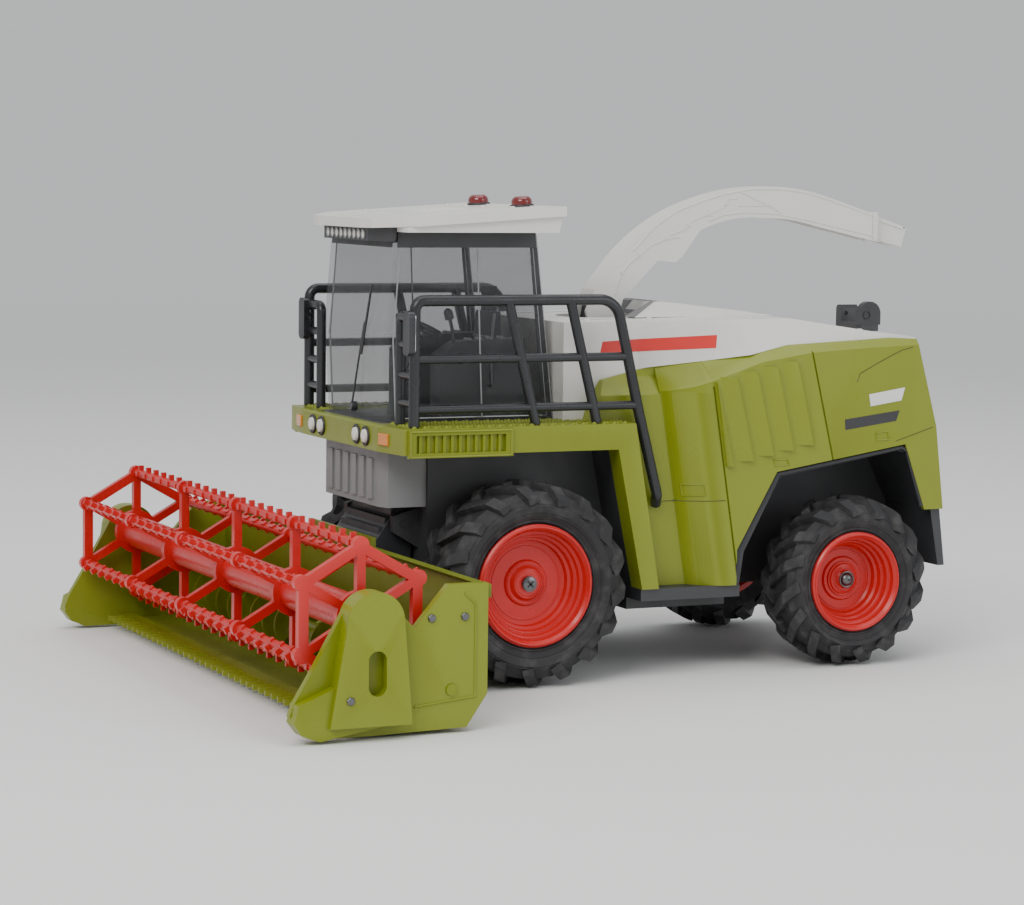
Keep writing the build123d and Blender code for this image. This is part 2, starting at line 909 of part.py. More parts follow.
well_radius = turret_radius + well_gap
with BuildPart() as engine_hood:
    add(hood_half.part)
    mirror(hood_half.part, about=Plane.YZ)
    add(upright_rod(0, spout_y, well_radius + plastic_wall, well_floor - plastic_wall, hood_top_z - 0.5))
    add(upright_rod(0, spout_y, well_radius, well_floor, hood_top_z + 5), mode=Mode.SUBTRACT)
    add(
        upright_rod(0, spout_y, spigot_radius + running_gap, well_floor - 5, well_floor + 1),
        mode=Mode.SUBTRACT,
    )
finish(engine_hood, "engine_hood")

# Raised hatch on the hood, notched round the spout's well
hatch_low_y = spout_y + 3
hatch_high_y = rear_axle_y - 16
hatch_foot = [
    (26, hatch_low_y),
    (18.4, hatch_low_y),
    (11, hatch_low_y + 13.5),
    (-11, hatch_low_y + 13.5),
    (-18.4, hatch_low_y),
    (-26, hatch_low_y),
    (-20, hatch_high_y),
    (20, hatch_high_y),
]
hatch_crown = [
    (20.5, hatch_low_y + 11),
    (18, hatch_low_y + 11),
    (9.5, hatch_low_y + 18),
    (-9.5, hatch_low_y + 18),
    (-18, hatch_low_y + 11),
    (-20.5, hatch_low_y + 11),
    (-13, hatch_high_y - 4),
    (13, hatch_high_y - 4),
]
with BuildPart() as hood_hatch:
    for z, points in ((hood_top_z + 0.75, hatch_foot), (hood_top_z + 6.4, hatch_crown)):
        with BuildSketch(plan_plane(z)):
            with BuildLine():
                Polyline(*points, close=True)
            make_face()
    loft(ruled=True)
    above = [
        (spout_y, hood_top_z + 8.2),
        (hatch_high_y + 5, hood_top_z + 0.3),
        (hatch_high_y + 5, hood_top_z + 30),
        (spout_y, hood_top_z + 30),
    ]
    add(side_bar(above, -60, 60), mode=Mode.SUBTRACT)
    below = [
        (hood_front_y, hood_top_z - 10),
        (hood_front_y, hood_top_z),
        (hood_peak_y, hood_peak_z + 0.02),
        (tail_side_y - tail_lean, tail_top_z),
        (tail_side_y - tail_lean, hood_top_z - 10),
    ]
    add(side_bar(below, -60, 60), mode=Mode.SUBTRACT)
finish(hood_hatch, "hood_hatch")

# Tail panel between the two side shells
tail_panel_low = arch_path[3][1] - 16
tail_outline = [
    (rear_axle_y, tail_panel_low),
    (rear_axle_y + 60, tail_panel_low),
    *[point for point in reversed(seam) if point[0] >= rear_axle_y],
    (rear_axle_y, tail_top_z - 0.3),
]
with BuildPart() as tail_panel:
    add(side_bar(tail_outline, -tail_panel_half, tail_panel_half))
    add(tail_end, mode=Mode.SUBTRACT)
    room = [
        (0, 0),
        (rear_axle_y + 60, 0),
        (rear_axle_y + 60, 200),
        (0, 200),
    ]
    with BuildPart(mode=Mode.PRIVATE) as tail_core:
        add(side_bar(room, -60, 60))
        add(tail_end_inner, mode=Mode.SUBTRACT)
    add(tail_core.part, mode=Mode.SUBTRACT)
finish(tail_panel, "tail_panel")


grille_length = 41.0
grille_proud = 1.0
# Platform beside the cab, with its edge rim and the slanting leg behind the front wheel
with BuildPart() as platform:
    with BuildSketch(plan_plane(platform_top - deck_thickness)):
        with BuildLine():
            Polyline(
                (glass_half_width + 0.2, platform_front),
                (platform_half_width, platform_front),
                (platform_half_width, leg_top_y),
                (glass_half_width + 0.2, leg_top_y),
                close=True,
            )
        make_face()
    extrude(amount=deck_thickness)
    rim = [
        (platform_front, platform_bottom),
        (platform_front, platform_top),
        (leg_top_y, platform_top),
        (leg_foot_y, sill_top),
        (leg_foot_y - leg_width, sill_top),
        (leg_top_y - leg_width, platform_bottom),
    ]
    add(side_bar(rim, platform_half_width - 2.2, platform_half_width))
    leg = [
        (leg_top_y - leg_width, platform_bottom),
        (leg_top_y - leg_width - 2, platform_top - 1),
        (leg_top_y, platform_top - 1),
        (leg_foot_y, sill_top),
        (leg_foot_y - leg_width, sill_top),
    ]
    add(side_bar(leg, recess_x + 0.1, platform_half_width))
    box_side = [
        (platform_front, platform_bottom - 1),
        (platform_front, platform_top - 0.6),
        (platform_front + grille_length, platform_top - 0.6),
        (platform_front + grille_length, platform_bottom - 1),
    ]
    add(side_bar(box_side, platform_half_width - 0.8, platform_half_width + grille_proud))
    box_core = [(box_side[0][0], platform_bottom), *box_side[1:3], (box_side[3][0], platform_bottom)]
    add(side_bar(box_core, glass_half_width + 0.2, platform_half_width))
    grille_slot = [
        (platform_front + 3, platform_bottom + 0.8),
        (platform_front + 3, platform_top - 2.4),
        (platform_front + grille_length - 3, platform_top - 2.4),
        (platform_front + grille_length - 3, platform_bottom + 0.8),
    ]
    add(
        side_bar(grille_slot, platform_half_width - 0.4, platform_half_width + 3),
        mode=Mode.SUBTRACT,
    )
    for index in range(11):
        y = platform_front + 4.2 + index * 3.1
        bar = [
            (y, platform_bottom),
            (y, platform_top - 2),
            (y + 1.1, platform_top - 2),
            (y + 1.1, platform_bottom),
        ]
        add(side_bar(bar, platform_half_width - 2, platform_half_width + grille_proud - 0.5))
finish(platform, "platform_left")
finish_mirrored(platform, "platform_right")

# Front bumper, angled back towards its ends
with BuildPart() as front_bumper:
    with BuildSketch(plan_plane(platform_bottom)):
        with BuildLine():
            Polyline(
                (-platform_half_width, platform_front),
                (-platform_half_width, platform_front - 1.6),
                (-38, platform_front - bumper_thickness),
                (38, platform_front - bumper_thickness),
                (platform_half_width, platform_front - 1.6),
                (platform_half_width, platform_front),
                close=True,
            )
        make_face()
    extrude(amount=platform_edge)
    chamfer(
        front_bumper.edges().filter_by(Axis.Z, reverse=True).group_by(Axis.Z)[-1].group_by(Axis.Y)[0],
        0.8,
    )
finish(front_bumper, "front_bumper")

# Headlamps on the bumper
lamp_z = platform_bottom + platform_edge / 2
with BuildPart() as headlamps:
    with BuildSketch(front_plane(platform_front - bumper_thickness)):
        with Locations((-27, lamp_z), (-18, lamp_z), (18, lamp_z), (27, lamp_z)):
            Circle(lamp_radius)
    extrude(amount=1.2, taper=20)
finish(headlamps, "headlamps")

# Grey wall under the front of the cab
wall_low = pan_top - 21
with BuildPart() as front_wall:
    with BuildSketch(plan_plane(wall_low)):
        with BuildLine():
            Polyline(
                (-glass_half_width, pan_front),
                (-glass_half_width, platform_front + 3),
                (-26, platform_front + 1),
                (26, platform_front + 1),
                (glass_half_width, platform_front + 3),
                (glass_half_width, pan_front),
                (glass_half_width - 2, pan_front),
                (glass_half_width - 2, platform_front + 4.8),
                (25, platform_front + 3),
                (-25, platform_front + 3),
                (-glass_half_width + 2, platform_front + 4.8),
                (-glass_half_width + 2, pan_front),
                close=True,
            )
        make_face()
    extrude(amount=platform_top - deck_thickness - wall_low)
    for index in range(6):
        x = -20 + index * 8
        with BuildSketch(front_plane(platform_front + 1.2)):
            with Locations((x, wall_low + 10)):
                Rectangle(4.6, 15)
        extrude(amount=1.0)
finish(front_wall, "front_wall")

# Cab floor with the two side consoles
with BuildPart() as cab_floor:
    with BuildSketch(plan_plane(platform_top - deck_thickness)):
        with BuildLine():
            Polyline(
                (-glass_half_width, platform_front),
                (glass_half_width, platform_front),
                (glass_half_width, hood_front_y),
                (-glass_half_width, hood_front_y),
                close=True,
            )
        make_face()
    extrude(amount=deck_thickness)
    riser = [(0, platform_top), (0, platform_top + 9), (17, platform_top + 9), (17, platform_top)]
    add(side_bar(riser, -12, 12))
    for side in (-1, 1):
        console = [
            (-22, platform_top),
            (-22, platform_top + 24),
            (-14, platform_top + 29),
            (12, platform_top + 30),
            (16, platform_top),
        ]
        edges = (side * 15.5, side * 25)
        add(side_bar(console, min(edges), max(edges)))
finish(cab_floor, "cab_floor")

# Driver's seat
seat_base = platform_top + 9
with BuildPart() as driver_seat:
    cushion = [
        (-7, seat_base),
        (-9, seat_base + 7),
        (-7, seat_base + 9.5),
        (7, seat_base + 8),
        (8.5, seat_base),
    ]
    add(side_bar(cushion, -8.5, 8.5))
    back = [(4, seat_base + 6), (6.5, seat_base + 30), (10, seat_base + 30), (10.5, seat_base)]
    add(side_bar(back, -7.5, 7.5))
    head_rest = [
        (7, seat_base + 29),
        (7, seat_base + 39.5),
        (10, seat_base + 39.5),
        (10, seat_base + 29),
    ]
    add(side_bar(head_rest, -4, 4))
finish(driver_seat, "driver_seat")

# Steering column and wheel
wheel_hub = (-21.0, platform_top + 33.0)
with BuildPart() as steering_column:
    pedestal = [
        (-31, platform_top),
        (-27.5, platform_top + 18),
        (-23, platform_top + 27),
        (-20.5, platform_top + 25),
        (-23, platform_top + 17),
        (-24, platform_top),
    ]
    add(side_bar(pedestal, -5, 5))
    tilted = Plane(
        origin=(0, front_axle_y + wheel_hub[0], wheel_hub[1]),
        x_dir=(1, 0, 0),
        z_dir=(0, 0.45, 1),
    )
    with BuildSketch(tilted):
        Circle(9.5)
        Circle(8.0, mode=Mode.SUBTRACT)
        Rectangle(17, 1.6)
        Circle(2.6)
    extrude(amount=1.6)
    with BuildSketch(tilted.offset(-8)):
        Circle(1.6)
    extrude(amount=8.5)
finish(steering_column, "steering_column")

# Clear cab glazing, one open-bottomed box
glass_points = [
    (glass_front_y, platform_top + 0.1),
    (glass_front_y - 1.5, platform_top + 30),
    (glass_front_y + 2, glass_top_z),
    (glass_rear_y - 5.7, glass_top_z),
    (glass_rear_y + 2.3, platform_top + 0.1),
]
glass_inner = [
    (glass_front_y + glass_wall, platform_top - 1),
    (glass_front_y + glass_wall - 1.5, platform_top + 30),
    (glass_front_y + glass_wall + 2, glass_top_z - glass_wall),
    (glass_rear_y - 5.9 - glass_wall, glass_top_z - glass_wall),
    (glass_rear_y + 2.3 - glass_wall, platform_top - 1),
]
with BuildPart() as cab_glazing:
    add(side_bar(glass_points, -glass_half_width, glass_half_width))
    fillet(
        cab_glazing.edges()
        .filter_by(lambda edge: abs(edge.center().X) > glass_half_width - 1)
        .group_by(Axis.Y)[0],
        3.0,
    )
    inner_half = glass_half_width - glass_wall
    add(side_bar(glass_inner, -inner_half, inner_half), mode=Mode.SUBTRACT)
finish(cab_glazing, "cab_glazing")

# Cab roof: a slab falling towards the front over a shallower tray
roof_fall = roof_drop / (roof_rear_y - roof_front_y)
roof_front_z = roof_rear_z - roof_drop
roof_corners = [
    (roof_half_width, roof_rear_y),
    (roof_half_width, roof_front_y + roof_corner * 0.8),
    (roof_half_width - roof_corner, roof_front_y + 1.6),
    (roof_half_width - roof_corner - 9, roof_front_y),
]
roof_plan = roof_corners + [(-x, y) for x, y in reversed(roof_corners)]
with BuildPart() as cab_roof:
    with BuildSketch(plan_plane(glass_top_z - 8)):
        with BuildLine():
            Polyline(*roof_plan, close=True)
        make_face()
    extrude(amount=30)
    slab = [
        (roof_front_y - 1, roof_front_z - 3.6),
        (roof_front_y - 1, roof_front_z),
        (roof_rear_y + 1, roof_rear_z),
        (roof_rear_y + 1, roof_rear_z - 3.6),
    ]
    add(side_bar(slab, -60, 60), mode=Mode.INTERSECT)
    tray = [
        (roof_front_y + 9.6, glass_top_z + 0.05),
        (roof_front_y + 9.6, roof_front_z - 3),
        (roof_rear_y - 0.6, roof_rear_z - 3.4),
        (roof_rear_y - 2.2, glass_top_z + 0.05),
    ]
    add(side_bar(tray, -roof_half_width + 1.6, roof_half_width - 1.6))
finish(cab_roof, "cab_roof")

# Lamp band under the front edge of the roof
band_z = roof_front_z - 3.6 + roof_fall * 4
with BuildPart() as roof_lamp_band:
    with BuildSketch(plan_plane(glass_top_z - 4)):
        with BuildLine():
            Polyline(
                (-34, roof_front_y + 8),
                (-22, roof_front_y + 3),
                (22, roof_front_y + 3),
                (34, roof_front_y + 8),
                (34, roof_front_y + 9.5),
                (-34, roof_front_y + 9.5),
                close=True,
            )
        make_face()
    extrude(amount=12)
    band = [
        (roof_front_y - 1, glass_top_z - 3.5),
        (roof_front_y - 1, roof_front_z - 3.6 - roof_fall * 0.5),
        (roof_front_y + 9.5, roof_front_z - 3.7 + roof_fall * 9.5),
        (roof_front_y + 9.5, glass_top_z),
        (roof_front_y + 9.0, glass_top_z - 3.5),
    ]
    add(side_bar(band, -60, 60), mode=Mode.INTERSECT)
finish(roof_lamp_band, "roof_lamp_band")

# Two beacons on the roof
beacon_y = roof_rear_y - 6.5
with BuildPart() as beacons:
    for side in (-1, 1):
        base_z = roof_rear_z - roof_fall * (roof_rear_y - beacon_y)
        with BuildSketch(
            Plane(
                origin=(side * beacon_x, front_axle_y + beacon_y, base_z),
                x_dir=(1, 0, 0),
                z_dir=(0, -roof_fall, 1),
            )
        ):
            Circle(beacon_radius)
        extrude(amount=3.8)
    fillet(beacons.edges().filter_by(GeomType.CIRCLE).group_by(Axis.Z)[-1], 2.2)
finish(beacons, "beacons")


# Guard rails of round bar along the platform edge and round its corner to the front
def bar_along(points, radius=rail_radius, bend=2.6):
    """A round bar that follows a bent line of points in space."""
    path = [(x, front_axle_y + y, z) for x, y, z in points]
    with BuildPart() as bar:
        with BuildLine() as route:
            FilletPolyline(*path, radius=bend) if len(path) > 2 else Line(*path)
        start = route.line @ 0
        heading = route.line % 0
        with BuildSketch(Plane(origin=start, z_dir=heading)):
            Circle(radius)
        sweep()
    return bar.part


def leaning(y_foot, z):
    """How far back a leaning post stands at this height."""
    return y_foot - rail_lean * (z - platform_top)


post_low = platform_top + 0.35
with BuildPart() as guard_rail:
    rear_post_y = 36.0
    rear_mid_y = rear_post_y + (rail_top_z - rail_mid_z) * rail_lean
    add(
        bar_along(
            [
                (rail_x, rail_front_y, post_low),
                (rail_x, rail_front_y, rail_top_z),
                (rail_x, rear_post_y, rail_top_z),
                (rail_x, leg_top_y + 3.0, rail_low_z - 3),
                (rail_x, leg_top_y + 11.0, platform_top - 27),
                (recess_x + 1.3, leg_top_y + 12.5, platform_top - 31),
            ],
            bend=(3.5, rail_bend, 6.0, 2.6),
        )
    )
    for y_foot in (4.0, 28.7):
        add(
            bar_along(
                [
                    (rail_x, y_foot, post_low),
                    (rail_x, leaning(y_foot, rail_top_z), rail_top_z),
                ],
                rail_radius - 0.15,
            )
        )
    for y_end, z in ((rear_mid_y, rail_mid_z), (leg_top_y + 2.0, rail_low_z)):
        add(bar_along([(rail_x, rail_front_y, z), (rail_x, y_end, z)], rail_radius - 0.4))
    add(
        bar_along(
            [
                (rail_x, rail_front_y, rail_top_z - 6),
                (gate_inner_x, rail_front_y, rail_top_z - 6),
                (gate_inner_x, rail_front_y, post_low),
            ],
            rail_radius - 0.15,
        )
    )
    for z in (rail_low_z + 2, rail_mid_z - 6, rail_mid_z + 5):
        rung = [(gate_inner_x, rail_front_y, z), (rail_x, rail_front_y, z)]
        add(bar_along(rung, rail_radius - 0.5))
    with BuildSketch(front_plane(rail_front_y - 1.0)):
        with Locations((rail_x, rail_mid_z + 9.5)):
            RectangleRounded(6.0, 16.0, 2.4)
    extrude(amount=2.4)
finish(guard_rail, "guard_rail_left")
finish_mirrored(guard_rail, "guard_rail_right")

# Battery box, its door and the switch, all reached from underneath
battery_low = pan_bottom
with BuildPart() as battery_pack:
    with BuildSketch(plan_plane(battery_low + 2.6)):
        with Locations((0, battery_y)):
            Rectangle(56, 30)
    extrude(amount=16)
finish(battery_pack, "battery_pack")

with BuildPart() as battery_door:
    with BuildSketch(plan_plane(battery_low + 0.2)):
        with Locations((0, battery_y)):
            Rectangle(door_width, door_length)
    extrude(amount=2.0)
    for side in (-1, 1):
        with BuildSketch(plan_plane(battery_low - 0.6)):
            with Locations((side * 24, battery_y)):
                Circle(2.4)
        extrude(amount=0.9)
finish(battery_door, "battery_door")

with BuildPart() as power_switch:
    with BuildSketch(plan_plane(pan_bottom + 0.2)):
        with Locations((switch_x, switch_y)):
            Rectangle(switch_width, switch_length)
    extrude(amount=1.5)
    with BuildSketch(plan_plane(pan_bottom - 1.6)):
        with Locations((switch_x, switch_y + 0.6)):
            Rectangle(3.6, 3.2)
    extrude(amount=1.9)
finish(power_switch, "power_switch")

# Rear towing hitch: two jaws on a stem under the tail
hitch_y = tail_y + 3.0
hitch_z = sill_top + 1.4
with BuildPart() as tow_hitch:
    with BuildSketch(plan_plane(hitch_z)):
        with BuildLine():
            Polyline(
                (-7, tail_y - 6),
                (7, tail_y - 6),
                (5, hitch_y - 4),
                (-5, hitch_y - 4),
                close=True,
            )
        make_face()
        with Locations((0, hitch_y - 2)):
            Circle(5)
        with Locations((0, hitch_y - 2)):
            Circle(hitch_radius, mode=Mode.SUBTRACT)
    extrude(amount=hitch_thickness)
finish(tow_hitch, "tow_hitch")


# Spout turret: a disc in the hood's well, a spigot below it and a post for the duct
turret_low = well_floor + seat_gap
turret_top = turret_low + 2.8
cheek_inner = spout_width / 2 - spout_wall
post_half = cheek_inner - seat_gap
with BuildPart() as spout_base:
    add(upright_rod(0, spout_y, turret_radius, turret_low, turret_top))
    add(upright_rod(0, spout_y, spigot_radius, well_floor - plastic_wall - 1, turret_low))
    with BuildSketch(side_plane(-post_half)):
        with BuildLine():
            left_foot = (spout_y - 6.5, turret_top - 0.5)
            right_foot = (spout_y + 6.5, turret_top - 0.5)
            high_left = (spout_y - 4.6, spout_pivot_z)
            high_right = (spout_y + 4.6, spout_pivot_z)
            Line(left_foot, high_left)
            ThreePointArc(high_left, (spout_y, spout_pivot_z + 4.6), high_right)
            Polyline(high_right, right_foot, left_foot)
        make_face()
    extrude(amount=post_half * 2)
    add(
        cross_rod(
            spout_y,
            spout_pivot_z,
            lift_pin_radius,
            -spout_width / 2 + 0.7,
            spout_width / 2 - 0.7,
        )
    )
finish(spout_base, "spout_base")


def arch_point(radius, degrees):
    """A point on an arc about the middle of the spout's arch."""
    turn = math.radians(degrees)
    return (
        spout_arch_y + radius * math.cos(turn),
        spout_arch_z + radius * math.sin(turn),
    )


# Spout duct: a channel open underneath that arches back over the hood
outer_foot = (spout_y + 1.8, spout_pivot_z + 14.7)
outer_bend = (spout_y + 21.0, spout_pivot_z + 32.9)
outer_rise = (spout_y + 42.0, spout_pivot_z + 42.8)
outer_crown = arch_point(spout_outer_radius, 92)
outer_end = arch_point(spout_outer_radius, 72)
inner_end = arch_point(spout_inner_radius, 74)
inner_crown = arch_point(spout_inner_radius, 84)
inner_rise = (spout_y + 69.7, spout_pivot_z + 35.6)
inner_bend = (spout_y + 54.6, spout_pivot_z + 35.0)
inner_start = (spout_y + 41.4, spout_pivot_z + 30.7)
foot_y = spout_y - spout_end_radius
exit_fall = 0.31
flap_top_z = outer_end[1] - (flap_start_y - outer_end[0]) * exit_fall
flap_low_z = inner_end[1] - (flap_start_y - inner_end[0]) * 0.22
pin_hole_half = spout_width / 2 - 0.5
with BuildPart() as duct_outline:
    with BuildSketch(side_plane(-spout_width / 2)):
        with BuildLine():
            Polyline((foot_y, spout_pivot_z), (foot_y + 3.6, spout_pivot_z + 8.0), outer_foot)
            ThreePointArc(outer_foot, outer_bend, outer_rise)
            ThreePointArc(outer_rise, outer_crown, outer_end)
            Polyline(outer_end, (flap_start_y, flap_top_z), (flap_start_y, flap_low_z), inner_end)
            ThreePointArc(inner_end, inner_crown, inner_rise)
            ThreePointArc(inner_rise, inner_bend, inner_start)
            Polyline(
                inner_start,
                (spout_y + 33.9, spout_pivot_z + 20.7),
                (spout_y + 31.0, spout_pivot_z + 18.4),
                (spout_y + 23.1, spout_pivot_z + 19.0),
                (spout_y + spout_end_radius + 1.2, spout_pivot_z + 4.2),
                (spout_y + spout_end_radius, spout_pivot_z),
            )
            ThreePointArc(
                (spout_y + spout_end_radius, spout_pivot_z),
                (spout_y, spout_pivot_z - spout_end_radius),
                (foot_y, spout_pivot_z),
            )
        make_face()
    extrude(amount=spout_width)
with BuildPart() as duct_core:
    with BuildSketch(side_plane(-cheek_inner)):
        with BuildLine():
            core_foot = (outer_foot[0] + 1.7, outer_foot[1] - 0.9)
            core_bend = (outer_bend[0] + 1.1, outer_bend[1] - 1.4)
            core_rise = (outer_rise[0] + 0.7, outer_rise[1] - 1.8)
            core_crown = arch_point(spout_outer_radius - spout_wall, 92)
            core_end = arch_point(spout_outer_radius - spout_wall, 72)
            Polyline(
                (foot_y - 2, 100),
                (foot_y - 2, spout_pivot_z + 5),
                (foot_y + 5.0, spout_pivot_z + 6),
                core_foot,
            )
            ThreePointArc(core_foot, core_bend, core_rise)
            ThreePointArc(core_rise, core_crown, core_end)
            Polyline(
                core_end,
                (flap_start_y + 1, flap_top_z - spout_wall - exit_fall),
                (flap_start_y + 1, 100),
                (foot_y - 2, 100),
            )
        make_face()
    extrude(amount=cheek_inner * 2)
flap_pin = (flap_start_y - 2.2, (flap_top_z * 3 + flap_low_z) / 4 - 1.4)
with BuildPart() as spout_duct:
    add(duct_outline.part)
    add(duct_core.part, mode=Mode.SUBTRACT)
    for y, z, radius in (
        (spout_y, spout_pivot_z, lift_pin_radius + running_gap),
        (*flap_pin, 1.0 + running_gap),
    ):
        add(cross_rod(y, z, radius, -pin_hole_half, pin_hole_half), mode=Mode.SUBTRACT)
finish(spout_duct, "spout_duct")

# Flap at the spout's mouth: a top plate with two cheeks that sit inside the duct's walls
flap_half = cheek_inner - seat_gap
flap_tip_z = outer_end[1] - (spout_tip_y - outer_end[0]) * exit_fall
with BuildPart() as spout_flap:
    with BuildSketch(side_plane(-flap_half)):
        with BuildLine():
            Polyline(
                (flap_pin[0] - 1.9, flap_pin[1] + 1.0),
                (flap_pin[0] + 0.6, flap_pin[1] + 2.2),
                (flap_start_y + 0.5, flap_pin[1] + 2.2),
                (flap_start_y + 0.5, flap_top_z - 0.4),
                (spout_tip_y, flap_tip_z - 0.3),
                (spout_tip_y - 2.2, flap_tip_z - 8.4),
                (flap_start_y + 0.5, flap_low_z + 0.4),
                (flap_pin[0] - 1.9, flap_pin[1] - 2.4),
                close=True,
            )
        make_face()
    extrude(amount=flap_half * 2)
    with BuildSketch(side_plane(-flap_half + 1.2)):
        with BuildLine():
            Polyline(
                (flap_pin[0] - 3, flap_pin[1] + 0.9),
                (flap_start_y + 2.0, flap_pin[1] + 0.9),
                (flap_start_y + 2.0, flap_top_z - 2.2),
                (spout_tip_y + 1, flap_tip_z - 1.8),
                (spout_tip_y, 120),
                (flap_pin[0] - 3, 120),
                close=True,
            )
        make_face()
    extrude(amount=flap_half * 2 - 2.4, mode=Mode.SUBTRACT)
    for side in (-1, 1):
        ends = (side * (flap_half - 0.8), side * (pin_hole_half - 0.2))
        add(cross_rod(*flap_pin, 1.0, min(ends), max(ends)))
finish(spout_flap, "spout_flap")

# Cradle on the tail that takes the spout for travel
cradle_y = tail_y - 14.0
cradle_low = tail_top_z
cradle_half = 9.8
with BuildPart() as spout_cradle:
    with BuildSketch(front_plane(cradle_y + 4)):
        with BuildLine():
            Polyline(
                (-cradle_half, cradle_low),
                (-cradle_half, cradle_low + 8.6),
                (-cradle_half + 1.0, cradle_low + 9.8),
                (-6.9, cradle_low + 9.8),
                (-6.2, cradle_low + 8.6),
                (-5.6, cradle_low + 3.4),
                (5.6, cradle_low + 3.4),
                (6.2, cradle_low + 8.6),
                (6.9, cradle_low + 9.8),
                (cradle_half - 1.0, cradle_low + 9.8),
                (cradle_half, cradle_low + 8.6),
                (cradle_half, cradle_low),
                close=True,
            )
        make_face()
    extrude(amount=8)
    add(
        cross_rod(cradle_y - 1.6, cradle_low + 6.4, 0.9, -cradle_half - 1, cradle_half + 1),
        mode=Mode.SUBTRACT,
    )
finish(spout_cradle, "spout_cradle")


# Feeder house between the machine and its header
trough_radius = auger_radius + auger_clearance
auger_y = header_rear - header_skin - trough_radius
auger_z = header_floor_z + header_skin + trough_radius
feeder_face_low = auger_z - 6.6
feeder_face_high = auger_z + 29.4
with BuildPart() as feeder_house:
    body = [
        (header_rear, feeder_face_low),
        (header_rear, feeder_face_high),
        (feeder_pivot_y - 1, feeder_pivot_z + 5.5),
        (pan_front - 3.2, feeder_pivot_z + 5.5),
        (pan_front - 1.2, feeder_pivot_z + 1.5),
        (pan_front - 1.2, feeder_pivot_z - 9),
        (pan_front - 3.5, pan_bottom + 6),
    ]
    add(side_bar(body, -feeder_half_width, feeder_half_width))
    for index in range(5):
        part_way = (index + 0.5) / 5
        y = header_rear + 1.2 + (feeder_pivot_y - 1.6 - header_rear) * part_way
        z = feeder_face_high + 1.2 + (feeder_pivot_z + 5.0 - feeder_face_high) * part_way
        rib = [(y - 1.2, z - 1.6), (y - 0.9, z + 1.0), (y + 0.7, z + 1.4), (y + 1.6, z - 0.8)]
        add(side_bar(rib, -feeder_half_width + 2, feeder_half_width - 2))
    inside = [
        (header_rear - 1, feeder_face_low + 2),
        (header_rear - 1, feeder_face_high - 2),
        (feeder_pivot_y, feeder_pivot_z + 2),
        (pan_front - 4, feeder_pivot_z + 2),
        (pan_front - 5, pan_bottom + 10),
    ]
    add(side_bar(inside, -feeder_half_width + 2, feeder_half_width - 2), mode=Mode.SUBTRACT)
    for side in (-1, 1):
        ends = (side * (feeder_half_width - 2), side * (feeder_half_width + 4.2))
        add(cross_rod(feeder_pivot_y, feeder_pivot_z, lift_pin_radius, min(ends), max(ends)))
finish(feeder_house, "feeder_house")


def trough_arc(radius, start, end, steps=5):
    """Points along the trough's curve about the auger, degrees from straight back."""
    points = []
    for index in range(steps + 1):
        turn = math.radians(start + (end - start) * index / steps)
        points.append((auger_y + radius * math.cos(turn), auger_z + radius * math.sin(turn)))
    return points


# Header frame: back wall, auger trough and flat floor as one skin
floor_front = nose_y + 23
trough_outer = trough_radius + header_skin
skin_outline = [
    (header_rear, header_wall_top),
    (header_rear, auger_z),
    *trough_arc(trough_outer, 0, -90)[1:],
    (floor_front, header_floor_z),
    (floor_front, header_floor_z + header_skin),
    *trough_arc(trough_radius, -90, 0),
    (header_rear - header_skin, header_wall_top - 1.6),
    (header_rear - header_skin - 2.4, header_wall_top),
]
with BuildPart() as header_frame:
    add(side_bar(skin_outline, -header_inner_half, header_inner_half))
    crest = [
        (header_rear - header_skin, header_wall_top - 4),
        (header_rear - header_skin, header_wall_top + header_crest),
        (header_rear, header_wall_top + header_crest),
        (header_rear, header_wall_top - 4),
    ]
    add(side_bar(crest, -header_crest_half, header_crest_half))
    beam = [
        (header_rear, feeder_face_high + 0.5),
        (header_rear, header_wall_top - 1),
        (header_rear + 3.0, header_wall_top - 1),
        (header_rear + 3.0, feeder_face_high + 0.5),
    ]
    for side in (-1, 1):
        ends = (side * (feeder_half_width + 0.5), side * header_inner_half)
        add(side_bar(beam, min(ends), max(ends)))
    throat = [(-80, 8), (-80, 30), (-40, 30), (-40, 8)]
    add(side_bar(throat, -feeder_half_width + 3, feeder_half_width - 3), mode=Mode.SUBTRACT)
    for index in range(12):
        x = (index - 5.5) * 21.5
        if abs(x) > feeder_half_width + 3:
            stiffener = [
                (header_rear, auger_z + 1),
                (header_rear, feeder_face_high + 1),
                (header_rear + 2.0, feeder_face_high + 1),
                (header_rear + 2.0, auger_z + 4),
            ]
            add(side_bar(stiffener, x - 0.8, x + 0.8))
finish(header_frame, "header_frame")

# End of the header: shield, reel tower and crop divider nose
shield_in = header_inner_half + 0.05
shield_outline = [
    (header_rear + 0.5, header_wall_top),
    (header_rear + 0.5, auger_z - 2),
    (header_rear - 7, header_floor_z - 0.4),
    (floor_front + 6, header_floor_z - 1.2),
    (nose_y + 8, header_floor_z - 1.2),
    (nose_y + 2.5, header_floor_z + 1.5),
    (nose_y, header_floor_z + 7),
    (nose_y + 1.5, header_floor_z + 11),
    (nose_y + 9, reel_z - 14),
    (reel_y - tower_radius + 0.5, reel_z + 3),
    (reel_y + tower_radius - 0.5, reel_z + 3),
    (reel_y + tower_radius + 6, header_wall_top - 14),
    (header_rear - 14, header_wall_top),
]
tower_outline = [
    (nose_y + 12, header_floor_z + 3),
    (reel_y - tower_radius, reel_z),
    (reel_y + tower_radius, reel_z),
    (reel_y + tower_radius + 3, header_floor_z + 3),
]
divider_outline = [
    (nose_y, header_floor_z + 5),
    (nose_y + 1.5, header_floor_z + 11),
    (nose_y + 22, reel_z - 18),
    (nose_y + 34, header_floor_z + 3),
    (nose_y + 9, header_floor_z - 1.2),
    (nose_y + 3, header_floor_z + 1),
]
